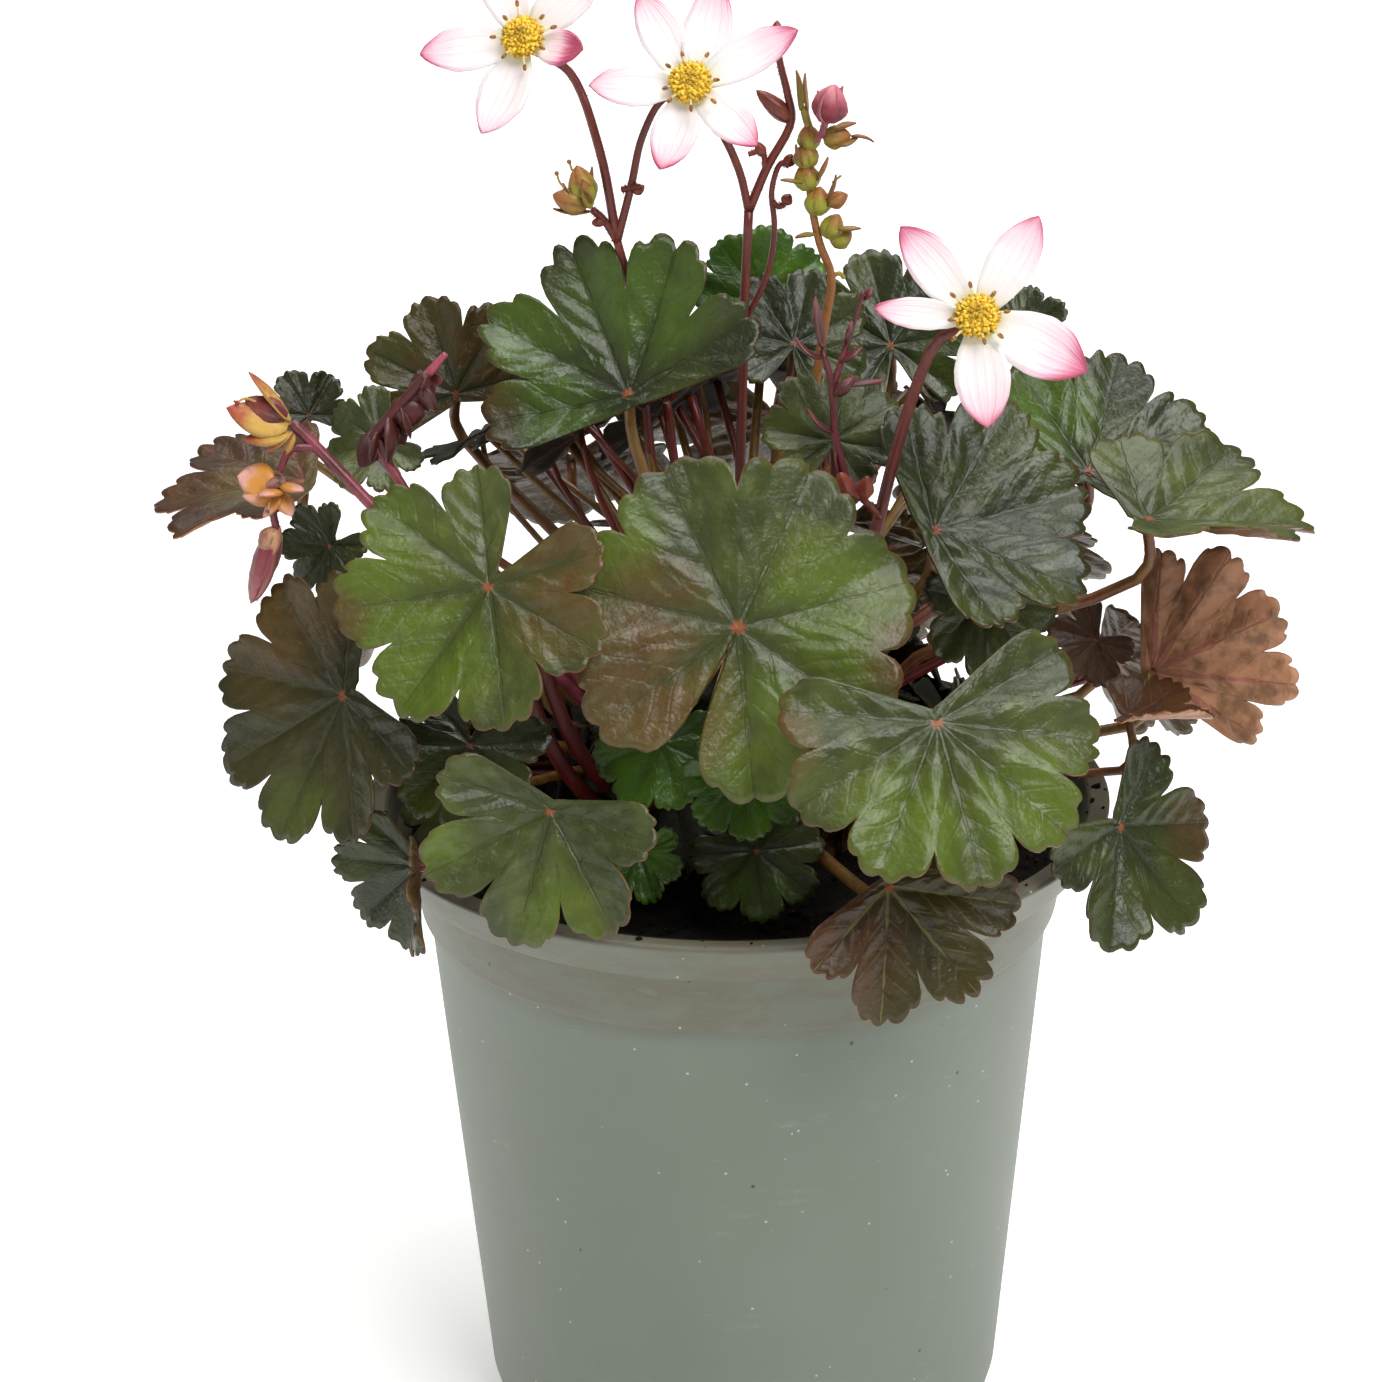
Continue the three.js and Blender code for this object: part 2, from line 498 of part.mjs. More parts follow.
// The flowering side shoot on the left
const sideTop = [-71.6, -18.5, 190.6];
const sideKnot = [-73.4, -21, 180.6];
add("side_stem", join([
  tube([
    [-11, -5, 116], [-28, -16, 143], [-46, -22, 162], [-56, -21.5, 174], [-67, -19, 186], [-70.8, -18.6, 190],
  ], 1, 7, 5),
  tube([[-67, -19, 186], [-71, -20, 186], [-73, -21, 182.6]], 0.7, 2, 4),
]), colours.youngRed);
add("side_flower_top", join([
  bud(sideTop, 9.5, 2.3, 180, 66), bud(sideTop, 9, 1.3, 190, 84), bud(sideTop, 10, 1.2, 172, 50),
]), colours.spent);
add("side_flower_middle", join([
  bud(sideKnot, 7, 2.4, 190, 96), bud(sideKnot, 5.5, 1.8, 230, 60), bud(sideKnot, 5.5, 1.8, 200, 130),
  bud(sideKnot, 7, 1.1, 150, 160),
]), colours.spent);
add("side_bud_low", join([
  bud([-74.4, -20.5, 172.2], 14, 2.1, 188, 160), bud([-74.6, -20.8, 172], 9, 1.6, 196, 146),
]), colours.redBud);

// Young red leaves still folded, and young green ones low in the middle
const foldedFrom = new THREE.Vector3(-58.4, -16, 186.7);
const foldedTo = new THREE.Vector3(-45.8, -16, 200.4);
const foldedTeeth = 6;
const teethOfFold = [...Array(foldedTeeth).keys()].map((k) => {
  const along = (k + 0.4) / foldedTeeth;
  const from = foldedFrom.clone().lerp(foldedTo, along).toArray();
  return bud(from, 5.8 - 2.4 * along, 1.5, -50, 130 - 20 * along);
});
add("young_red_leaf", join([
  tube([
    [-14, -2, 115.6], [-28, -10, 143], [-44, -18, 161], [-51.4, -18, 174.8], foldedFrom.toArray(),
  ], 0.85, 6, 4),
  tube([foldedFrom.toArray(), foldedTo.toArray()], 1.3, 1, 5), ...teethOfFold,
]), colours.youngRed);
add("young_shoot", join([
  tube([
    [9, -7, 116], [14, -13, 150], [18.5, -17, 176], [17.5, -16, 186], [16, -13, 196], [20, -11, 206],
  ], 0.8, 8, 4),
  bud([16, -13, 196], 5.5, 1.3, 175, 60), bud([16, -13, 196], 6, 1.4, 5, 70),
  bud([17, -12.6, 198.6], 5, 1.2, -20, 40),
  bud([17.5, -16, 187], 5, 1.1, 170, 50), bud([18, -16, 184], 4.5, 1, 10, 40),
]), colours.youngRed);

// A tuft of leaves that share a foot in the soil beside the crown; bow is how far their stalks lean out
function tuft(blades, foot, bow) {
  const stalks = blades.map(({ at }) => {
    const end = new THREE.Vector3(...at);
    const middle = foot.clone().lerp(end, 0.5);
    middle.y += bow;
    return tube([foot, middle, end].map((point) => point.toArray()), 0.8, 3, 4);
  });
  return join([...blades.map(blade), ...stalks]);
}
add("young_green_leaves", tuft([
  { at: [-12, -36, 141], size: 12, faces: -100, tilt: 56, spin: -24, cut: 0.18, teeth: 1 },
  { at: [1, -42, 138], size: 11, faces: -85, tilt: 62, spin: 4, cut: 0.18, teeth: 1 },
  { at: [-16, -41, 124], size: 9, faces: -110, tilt: 60, spin: -20, teeth: 1 },
], new THREE.Vector3(-5, -24, 111.9), 7), colours.lime);
add("inner_leaves", tuft([
  { at: [-13, 30, 158], size: 15, faces: 112, tilt: 30, spin: 0, lobes: 5, spread: 58, teeth: 1 },
  { at: [20.5, 34.5, 155.5], size: 15, faces: 65, tilt: 32, spin: 0, lobes: 5, spread: 58, teeth: 1 },
], new THREE.Vector3(3, 24.5, 111.9), -4), colours.deep);

export default plant;
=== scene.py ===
# Looks of a potted saxifrage round its CAD model: leaves, stalks, flowers, soil and pot. Metres, +Z up.
import math
import random

import bmesh
import bpy
from mathutils import Matrix, Vector, noise


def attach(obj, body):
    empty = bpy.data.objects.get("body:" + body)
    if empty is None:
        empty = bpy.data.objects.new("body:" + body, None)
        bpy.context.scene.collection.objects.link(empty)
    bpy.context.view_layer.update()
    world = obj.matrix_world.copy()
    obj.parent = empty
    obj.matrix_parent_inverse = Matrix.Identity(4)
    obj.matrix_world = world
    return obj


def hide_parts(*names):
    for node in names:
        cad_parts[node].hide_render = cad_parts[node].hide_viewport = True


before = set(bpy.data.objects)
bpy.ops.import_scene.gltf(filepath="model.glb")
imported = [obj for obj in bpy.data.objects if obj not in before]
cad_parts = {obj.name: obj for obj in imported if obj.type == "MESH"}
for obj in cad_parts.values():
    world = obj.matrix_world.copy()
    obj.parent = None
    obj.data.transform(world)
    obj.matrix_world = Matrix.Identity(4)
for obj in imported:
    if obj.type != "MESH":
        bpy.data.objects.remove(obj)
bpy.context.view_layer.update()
scene = bpy.context.scene
goldenTurn = math.pi * (3 - math.sqrt(5))
print("CAD model loaded:", len(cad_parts), "nodes")

# The camera stands where the photograph was taken from
photoCamera = {
    "at": (0, -0.468, 0.317),
    "pitchDown": 21.16,
    "yaw": -0.95,
    "roll": -1.0,
    "focalPixels": 2900,
    "framePixels": 1382,
    "sensor": 36,  # millimetres, as Blender gives it
    "clipStart": 0.01,
}


def placeCamera():
    pitch, yaw, roll = (math.radians(photoCamera[turn]) for turn in ("pitchDown", "yaw", "roll"))
    ahead = Vector((math.sin(yaw) * math.cos(pitch), math.cos(yaw) * math.cos(pitch), -math.sin(pitch)))
    level = Vector((math.cos(yaw), -math.sin(yaw), 0))
    above = level.cross(ahead)
    right = math.cos(roll) * level + math.sin(roll) * above
    up = math.cos(roll) * above - math.sin(roll) * level
    lens = bpy.data.cameras.new("photoCamera")
    lens.sensor_width = photoCamera["sensor"]
    lens.lens = photoCamera["focalPixels"] * photoCamera["sensor"] / photoCamera["framePixels"]
    lens.clip_start = photoCamera["clipStart"]
    body = bpy.data.objects.new("photoCamera", lens)
    scene.collection.objects.link(body)
    turn = Matrix((right, up, -ahead)).transposed().to_4x4()
    body.matrix_world = Matrix.Translation(photoCamera["at"]) @ turn
    scene.camera = body


# Nodes of a material: newPaint opens a material, and the helpers after it add their nodes to the open one
def hexColour(code):
    # linear colour of a screen colour such as "8f9c95"
    channels = [int(code[k:k + 2], 16) / 255 for k in (0, 2, 4)]
    linear = [c / 12.92 if c <= 0.04045 else ((c + 0.055) / 1.055) ** 2.4 for c in channels]
    return (*linear, 1)


def feed(socket, value):
    # a socket takes a link, a screen colour or a plain value
    if isinstance(value, bpy.types.NodeSocket):
        tree.links.new(value, socket)
    else:
        socket.default_value = hexColour(value) if isinstance(value, str) else value


def newPaint(name, gloss):
    global tree, shader
    paint = bpy.data.materials.new(name)
    paint.use_nodes = True
    tree = paint.node_tree
    shader = tree.nodes["Principled BSDF"]
    for socket, value in gloss.items():
        feed(shader.inputs[socket], value)
    return paint


def newNode(kind, values, output=0, **settings):
    node = tree.nodes.new("ShaderNode" + kind)
    for setting, value in settings.items():
        setattr(node, setting, value)
    for socket, value in values.items():
        feed(node.inputs[socket], value)
    return node.outputs[output]


def layered(ground, *layers):
    # colours laid over a ground one after another, each given as its share and its colour
    for share, colour in layers:
        ground = newNode("Mix", {0: share, 6: ground, 7: colour}, 2, data_type="RGBA")
    return ground


def maths(operation, first, second=0.5):
    return newNode("Math", {0: first, 1: second}, operation=operation)


def plus(first, second):
    return maths("ADD", first, second)


def minus(first, second=0.5):
    return maths("SUBTRACT", first, second)


def times(*values):
    result = values[0]
    for value in values[1:]:
        result = maths("MULTIPLY", result, value)
    return result


def faded(value, low, high, start=0.0, end=1.0):
    # start where the value is low, end where it is high, smooth between
    values = dict(enumerate((value, low, high, start, end)))
    return newNode("MapRange", values, interpolation_type="SMOOTHSTEP")


def surfacePlace(stretch=(1, 1, 1)):
    return newNode("Mapping", {"Vector": newNode("TexCoord", {}, "Object"), "Scale": stretch})


def cloud(place, scale, detail=3.0, roughness=0.55):
    return newNode("TexNoise", {"Vector": place, "Scale": scale, "Detail": detail, "Roughness": roughness})


def cells(place, scale, feature="F1"):
    return newNode("TexVoronoi", {"Vector": place, "Scale": scale}, "Distance", feature=feature)


def partsOf(vector):
    return newNode("SeparateXYZ", {0: vector}).node.outputs


def threeOf(attribute):
    # the three numbers of a vertex attribute
    return partsOf(newNode("Attribute", {}, "Vector", attribute_name=attribute))


def stretched(along, across, alongScale, acrossScale):
    # a place that runs with the lobe or petal, for streaks
    return newNode("CombineXYZ", {0: times(along, alongScale), 1: times(across, acrossScale)})


def dress(colour, relief, depth, strength=1.0):
    # the open material gets its colour and its relief
    feed(shader.inputs["Base Color"], colour)
    bump = newNode("Bump", {"Height": relief, "Distance": depth, "Strength": strength})
    feed(shader.inputs["Normal"], bump)


# Shapes that several pieces share
def direction(az, lean):
    return Vector((math.sin(lean) * math.cos(az), math.sin(lean) * math.sin(az), math.cos(lean)))


def roundAt(reach, turn, height=0.0):
    return Vector((reach * math.cos(turn), reach * math.sin(turn), height))


def frameAt(at, faces, tilt, spin=0):
    # Z is the facing, X runs down its slope, turned by the spin; the angles are in degrees
    az, lean, turn = (math.radians(angle) for angle in (faces, tilt, spin))
    z = direction(az, lean)
    x = Matrix.Rotation(turn, 3, z) @ direction(az, lean + math.pi / 2)
    return Matrix.Translation(at) @ Matrix((x, z.cross(x), z)).transposed().to_4x4()


def frameOf(form):
    # the frame of a leaf or a bloom
    return frameAt(form["at"], form["faces"], form["tilt"], form.get("spin", 0))


def aimed(at, heading, axis="Z"):
    return Matrix.Translation(at) @ heading.to_track_quat(axis, "Y").to_matrix().to_4x4()


def pieceName(node):
    first, *rest = node.split("_")
    return first + "".join(word.title() for word in rest)


def newObject(name, bm, paint):
    mesh = bpy.data.meshes.new(name)
    bm.to_mesh(mesh)
    bm.free()
    mesh.shade_smooth()
    mesh.materials.append(paint)
    made = bpy.data.objects.new(name, mesh)
    scene.collection.objects.link(made)
    return made


def finishPiece(name, bm, paint, slot, *nodes):
    piece = newObject(name, bm, paint)
    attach(piece, "root")
    if nodes:
        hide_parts(*nodes)
    return piece


def newMesh(*layers):
    bm = bmesh.new()
    for layer in layers:
        bm.verts.layers.float_vector.new(layer)
    return bm


def pour(bm, part):
    # a part that was built alone, which is quick, joins the piece it belongs to
    mesh = bpy.data.meshes.new("part")
    part.to_mesh(mesh)
    part.free()
    bm.from_mesh(mesh)
    bpy.data.meshes.remove(mesh)


def setLayer(bm, name, verts, value):
    layer = bm.verts.layers.float_vector[name]
    for vert in verts:
        vert[layer] = value


def vertsSince(bm, before):
    return [vert for vert in bm.verts if vert not in before]


def facesOf(verts):
    return list({face for vert in verts for face in vert.link_faces})


def newGrid(bm, along, across):
    return bmesh.ops.create_grid(bm, x_segments=along, y_segments=across, size=1)["verts"]


def ball(bm, place, radius, detail):
    return bmesh.ops.create_icosphere(bm, subdivisions=detail, radius=radius, matrix=place)["verts"]


def smoothLine(points, steps):
    # a centripetal curve through the points
    points = [Vector(point) for point in points]
    points = [2 * points[0] - points[1], *points, 2 * points[-1] - points[-2]]
    spans = len(points) - 3
    line = []
    for step in range(steps + 1):
        span = min(int(step * spans / steps), spans - 1)
        t = step * spans / steps - span
        p0, p1, p2, p3 = points[span:span + 4]
        d0, d1, d2 = (max((b - a).length ** 0.5, 1e-5) for a, b in ((p0, p1), (p1, p2), (p2, p3)))
        m1 = ((p1 - p0) / d0 - (p2 - p0) / (d0 + d1) + (p2 - p1) / d1) * d1
        m2 = ((p2 - p1) / d1 - (p3 - p1) / (d1 + d2) + (p3 - p2) / d2) * d1
        a, b = 2 * (p1 - p2) + m1 + m2, 3 * (p2 - p1) - 2 * m1 - m2
        line.append(a * t ** 3 + b * t ** 2 + m1 * t + p1)
    return line


def rod(bm, line, radii, sides=8):
    # a round stem: one ring that is extruded along the line, closed at both ends
    heading = (line[1] - line[0]).normalized()
    place = aimed(line[0], heading)
    ring = bmesh.ops.create_circle(bm, segments=sides, radius=radii[0], matrix=place, cap_ends=True)["verts"]
    made = list(ring)
    edges = list({edge for vert in ring for edge in vert.link_edges})
    for k in range(1, len(line)):
        grown = bmesh.ops.extrude_edge_only(bm, edges=edges)["geom"]
        ring = [part for part in grown if isinstance(part, bmesh.types.BMVert)]
        inRing = set(ring)
        edges = [part for part in grown if isinstance(part, bmesh.types.BMEdge) and set(part.verts) <= inRing]
        onward = (line[min(k + 1, len(line) - 1)] - line[k - 1]).normalized()
        turn = heading.rotation_difference(onward).to_matrix().to_4x4()
        grow = Matrix.Diagonal((*[radii[k] / radii[k - 1]] * 3, 1))
        step = Matrix.Translation(line[k]) @ turn @ grow @ Matrix.Translation(-line[k - 1])
        bmesh.ops.transform(bm, matrix=step, verts=ring)
        heading = onward
        made += ring
    bmesh.ops.contextual_create(bm, geom=edges)
    return made


def bentLine(points, low, high, steps):
    # a smooth line and its radii, which run from low to high
    return smoothLine(points, steps), [low + (high - low) * k / steps for k in range(steps + 1)]


def dome(radius, foot, top, rows):
    # the profile of a quarter of an oval, from its edge up to the axis
    leans = [math.pi / 2 * k / rows for k in range(rows)]
    return [(radius * math.cos(lean), foot + (top - foot) * math.sin(lean)) for lean in leans] + [(0, top)]


def spunShape(bm, profile, steps, place=Matrix()):
    # a closed turned shape from (radius, height) points that start and end on the axis
    before = set(bm.verts)
    row = [bm.verts.new((radius, 0, height)) for radius, height in profile]
    edges = [bm.edges.new(pair) for pair in zip(row, row[1:])]
    bmesh.ops.spin(
        bm, geom=row + edges, axis=(0, 0, 1), cent=(0, 0, 0), angle=2 * math.pi, steps=steps, use_merge=True,
    )
    bmesh.ops.remove_doubles(bm, verts=vertsSince(bm, before), dist=1e-6)
    made = vertsSince(bm, before)
    bmesh.ops.recalc_face_normals(bm, faces=facesOf(made))
    bmesh.ops.transform(bm, matrix=place, verts=made)
    return made


def thickened(bm, verts, thick):
    # a sheet gets its second face and its edge; the new corners come back too
    bm.normal_update()
    made = bmesh.ops.solidify(bm, geom=facesOf(verts), thickness=thick)["geom"]
    return list(verts) + [part for part in made if isinstance(part, bmesh.types.BMVert)]


# Leaves. A leaf is where its stalk joins the blade, its facing, tilt and spin in degrees, and its size. foot
# is where the stalk leaves the crown, and drop says how steeply it comes up. The brown and bright patches are
# (way they lie seen from the front, how far out, radius): 0 is down, 90 right, 180 up, -90 left.
leafForm = {
    "shade": "deep", "spread": 46, "cup": 0.002, "fold": 0, "wave": 0.0015, "bend": 0.002, "lobes": 7,
    "cut": 0.27, "taper": 0.2, "drop": 0.8, "notchAtStalk": 0.62, "heelReach": 0.08, "heelSteps": 8,
    "channel": 0.035, "thick": 0.00045, "teeth": 5, "toothDepth": 0.07, "toothRound": 0.7, "lobeRound": 0.52,
    "sideVeinEvery": 0.17, "sideVeinSlope": 1.05, "sideVeinWander": 0.5, "quilt": 0.008, "ruffle": 0.0018,
    "groove": 0.00042, "grooveWidth": 0.035, "crinkle": 0.0006, "rings": 18, "toothSteps": 6, "brown": [],
    "bright": [],
}
smallForm = {"below": 0.02, "rings": 10, "toothSteps": 4}
waveTurns = {"leaves": 1.3, "tufts": 1, "inner": 0.7}  # how much the waves turn from one leaf to the next


def leafAt(at, faces, tilt, spin, size, **own):
    small = smallForm if size < smallForm["below"] else {}
    return {**leafForm, **small, "at": at, "faces": faces, "tilt": tilt, "spin": spin, "size": size, **own}


leaves = {
    "leaf_front_big": leafAt(
        (0.0005, -0.05, 0.1655), -88, 64, 154, 0.0282, foot=(-0.002, -0.013), shade="grey", spread=50,
        cut=0.18, cup=0.001, wave=0.001, taper=0.03, teeth=4, toothDepth=0.05,
        brown=[(-50, 0.62, 0.55), (-92, 0.45, 0.45), (78, 0.95, 0.28)],
        bright=[(8, 0.6, 0.5), (-128, 0.85, 0.32), (100, 0.5, 0.5)],
    ),
    "leaf_front_right": leafAt(
        (0.03, -0.066, 0.156), -80, 50, 8, 0.0262, foot=(0.008, -0.015), shade="grey", spread=36, cut=0.2,
        cup=0, wave=0.001, taper=0.08, teeth=4, toothDepth=0.05, brown=[(-88, 0.95, 0.3)],
        bright=[(-20, 0.6, 0.5), (40, 0.75, 0.5)],
    ),
    "leaf_front_left": leafAt(
        (-0.038, -0.045, 0.171), -105, 54, -28, 0.0245, foot=(-0.008, -0.012), shade="grey", fold=10,
        toothDepth=0.06, brown=[(95, 0.55, 0.6), (-70, 1, 0.25)],
        bright=[(-35, 0.6, 0.65), (-100, 0.75, 0.5)],
    ),
    "leaf_left_low": leafAt(
        (-0.0625, -0.038, 0.1505), -122, 60, -52, 0.026, foot=(-0.015, -0.009), shade="bronze", spread=38,
        cut=0.28, toothDepth=0.055, brown=[(-120, 0.7, 0.6)], bright=[(-8, 0.8, 0.35)],
    ),
    "leaf_rim_left": leafAt(
        (-0.0285, -0.062, 0.1405), -98, 68, -14, 0.022, foot=(-0.009, -0.017), shade="grey", drop=0.1,
        lobes=5, spread=46, cut=0.34, fold=12, toothDepth=0.05, bright=[(5, 0.75, 0.4), (-75, 0.8, 0.3)],
    ),
    "leaf_rim_right": leafAt(
        (0.023, -0.064, 0.128), -75, 66, 34, 0.022, foot=(0.006, -0.018), shade="olive", drop=0.1, lobes=5,
        spread=42, cut=0.3, brown=[(-55, 0.6, 0.65)],
    ),
    "leaf_right_low": leafAt(
        (0.0625, -0.034, 0.1245), -50, 64, 24, 0.0215, foot=(0.016, -0.01), drop=0.1, lobes=5, spread=52,
        cut=0.35, brown=[(70, 0.8, 0.4)],
    ),
    "leaf_right_turned": leafAt(
        (0.071, -0.005, 0.1405), 62, 92, -123, 0.027, foot=(0.018, -0.002), shade="mauve", lobes=5,
        spread=28, cut=0.2, teeth=4, toothDepth=0.06,
    ),
    "leaf_right_high": leafAt(
        (0.062, 0.018, 0.169), -85, 50, 160, 0.0245, foot=(0.013, 0.002), lobes=5, spread=46,
        bright=[(-150, 0.5, 0.5)],
    ),
    "leaf_right_wide": leafAt(
        (0.068, -0.012, 0.17), -80, 4, 84, 0.028, foot=(0.016, 0), shade="grey", lobes=5, spread=46,
        fold=14,
    ),
    "leaf_mid_right": leafAt(
        (0.032, -0.026, 0.173), -78, 42, 100, 0.027, foot=(0.012, -0.005), lobes=5, spread=42, cut=0.2,
        fold=12, bright=[(-60, 0.6, 0.45)],
    ),
    "leaf_top": leafAt(
        (-0.017, -0.008, 0.191), -95, 60, -157, 0.0275, foot=(-0.005, -0.002), lobes=5, spread=40, cut=0.32,
        cup=0.004, bend=0, taper=0.1, teeth=4, toothDepth=0.08, brown=[(-84, 1, 0.4)],
        bright=[(-185, 0.6, 0.5), (-110, 0.75, 0.4), (-80, 0.4, 0.35)],
    ),
    "leaf_top_left": leafAt(
        (-0.0485, 0.025, 0.1825), -85, 72, -165, 0.018, foot=(-0.012, 0.008), lobes=5, spread=46,
        brown=[(0, 0.1, 1.6)], bright=[(-120, 0.7, 0.8)],
    ),
    "leaf_far_left": leafAt(
        (-0.0725, 0.0005, 0.1745), -100, 6, -80, 0.026, foot=(-0.017, 0), shade="mauve", lobes=5, spread=38,
        fold=5, bend=0.004, bright=[(-60, 0.2, 0.5)],
    ),
    "leaf_blue_left": leafAt(
        (-0.061, 0.015, 0.177), -100, 50, -75, 0.011, foot=(-0.014, 0.004), shade="grey",
    ),
    "leaf_back_bright": leafAt(
        (0.0055, 0.032, 0.197), -90, 72, 172, 0.013, foot=(0.001, 0.009), shade="lime", cut=0.15,
    ),
    "leaf_back_grey": leafAt((0.0105, 0.014, 0.1935), -80, 58, 160, 0.014, foot=(0.003, 0.004)),
    "leaf_back_dull": leafAt((0.0275, 0.022, 0.191), -90, 62, -168, 0.018, foot=(0.008, 0.007)),
    "leaf_back_small": leafAt((0.0515, 0.037, 0.1895), -85, 62, 165, 0.009, foot=(0.011, 0.011)),
    "leaf_mid_grey": leafAt(
        (0.0165, -0.01, 0.1835), -92, 55, 170, 0.013, foot=(0.006, -0.001), shade="grey",
    ),
    "leaf_grey_right": leafAt(
        (0.0575, 0.031, 0.171), -85, 58, 175, 0.014, foot=(0.014, 0.008), shade="grey",
    ),
    "leaf_soil_middle": leafAt(
        (0.003, -0.04, 0.1235), -90, 58, 5, 0.012, foot=(0.001, -0.019), bright=[(0, 0.6, 0.7)],
    ),
    "leaf_drooping": leafAt(
        (-0.0515, -0.049, 0.1255), -150, 80, 4, 0.015, foot=(-0.018, -0.006), drop=0.1, spread=40, fold=26,
    ),
    "leaf_inner_right": leafAt((0.0405, -0.022, 0.1595), -60, 62, 30, 0.015, foot=(0.014, -0.008)),
    "leaf_inner_left": leafAt((-0.0425, -0.04, 0.1425), -112, 48, 10, 0.015, foot=(-0.016, -0.007)),
    "leaf_brown_right": leafAt(
        (0.063, 0.008, 0.1415), -85, 60, -50, 0.009, foot=(0.018, 0.005), shade="mauve", lobes=5, spread=58,
    ),
    "leaf_folded_right": leafAt(
        (0.0655, -0.0185, 0.138), 95, 4, -98, 0.014, foot=(0.018, -0.006), shade="mauve", lobes=5,
        spread=46, fold=16,
    ),
    "leaf_brown_left": leafAt(
        (-0.076, 0.034, 0.1765), -70, 62, -160, 0.009, foot=(-0.017, 0.006), shade="bronze", lobes=5,
        spread=58,
    ),
    "leaf_dark_left": leafAt((-0.067, -0.012, 0.167), -110, 68, -40, 0.009, foot=(-0.017, -0.004)),
    "leaf_behind_left": leafAt(
        (-0.03, 0.046, 0.164), 112, 42, 0, 0.025, foot=(-0.007, 0.014), lobes=5, spread=58,
    ),
    "leaf_behind_middle": leafAt((0.008, 0.054, 0.17), 88, 48, -15, 0.027, foot=(0.002, 0.015)),
    "leaf_behind_right": leafAt(
        (0.05, 0.048, 0.152), 52, 50, 25, 0.025, foot=(0.01, 0.013), lobes=5, spread=58,
    ),
    "leaf_side_left": leafAt(
        (-0.066, 0.038, 0.142), 148, 56, -20, 0.024, foot=(-0.015, 0.009), lobes=5, spread=58,
    ),
    "leaf_side_right": leafAt((0.068, 0.034, 0.131), 32, 58, 10, 0.023, foot=(0.016, 0.01)),
    "leaf_rim_behind_left": leafAt(
        (-0.024, 0.066, 0.134), 105, 66, 5, 0.022, foot=(-0.005, 0.018), drop=0.1, lobes=5, spread=58,
    ),
    "leaf_rim_behind_right": leafAt(
        (0.026, 0.067, 0.134), 72, 62, -8, 0.024, foot=(0.006, 0.018), drop=0.1,
    ),
    "leaf_left_side_low": leafAt(
        (-0.07, 0.004, 0.134), 178, 64, 8, 0.022, foot=(-0.019, 0.002), lobes=5, spread=58,
    ),
}
# Colours of the blades. frost is how much pale bloom and painted whitish sheen lies on them, and shine how
# glossy their coat is.
shadeParts = ("base", "deep", "pale", "bright", "brown", "vein", "margin", "under", "frost", "gloss", "shine")
leafShades = {
    "grey": (
        "464f1a", "2c350c", "747c50", "4e600d", "523816", "343c14", "6a4028", "664826", 0.26, 0.37, 0.12,
    ),
    "deep": (
        "323b0a", "1d2505", "586434", "3e5808", "46300f", "262f09", "582c18", "5a4420", 0.18, 0.34, 0.16,
    ),
    "bronze": (
        "33300a", "1f2006", "5a5a30", "424c0e", "48340f", "464820", "3e260c", "583c1a", 0.16, 0.38, 0.1,
    ),
    "olive": (
        "373007", "242004", "605828", "484a0c", "48280e", "7a7240", "6c3818", "5c3c20", 0.1, 0.36, 0.12,
    ),
    "mauve": (
        "523415", "382410", "6e5034", "504e18", "422812", "8a4238", "743a28", "ac7c5c", 0.14, 0.44, 0.05,
    ),
    # shaded: the deep leaves' colours darkened further, a painted-shade copy for the small leaves inside the
    # mound
    "shaded": (
        "1c2206", "101404", "2c3418", "263206", "26180a", "161c06", "2c180e", "2a1e10", 0.05, 0.6, 0.0,
    ),
    "lime": (
        "3e6206", "244004", "648830", "60880e", "584a10", "4a721c", "524a10", "50721a", 0.14, 0.34, 0.14,
    ),
}
bladeTones = {"stalkSpot": "8c4a2c", "underVein": "9c5a54"}


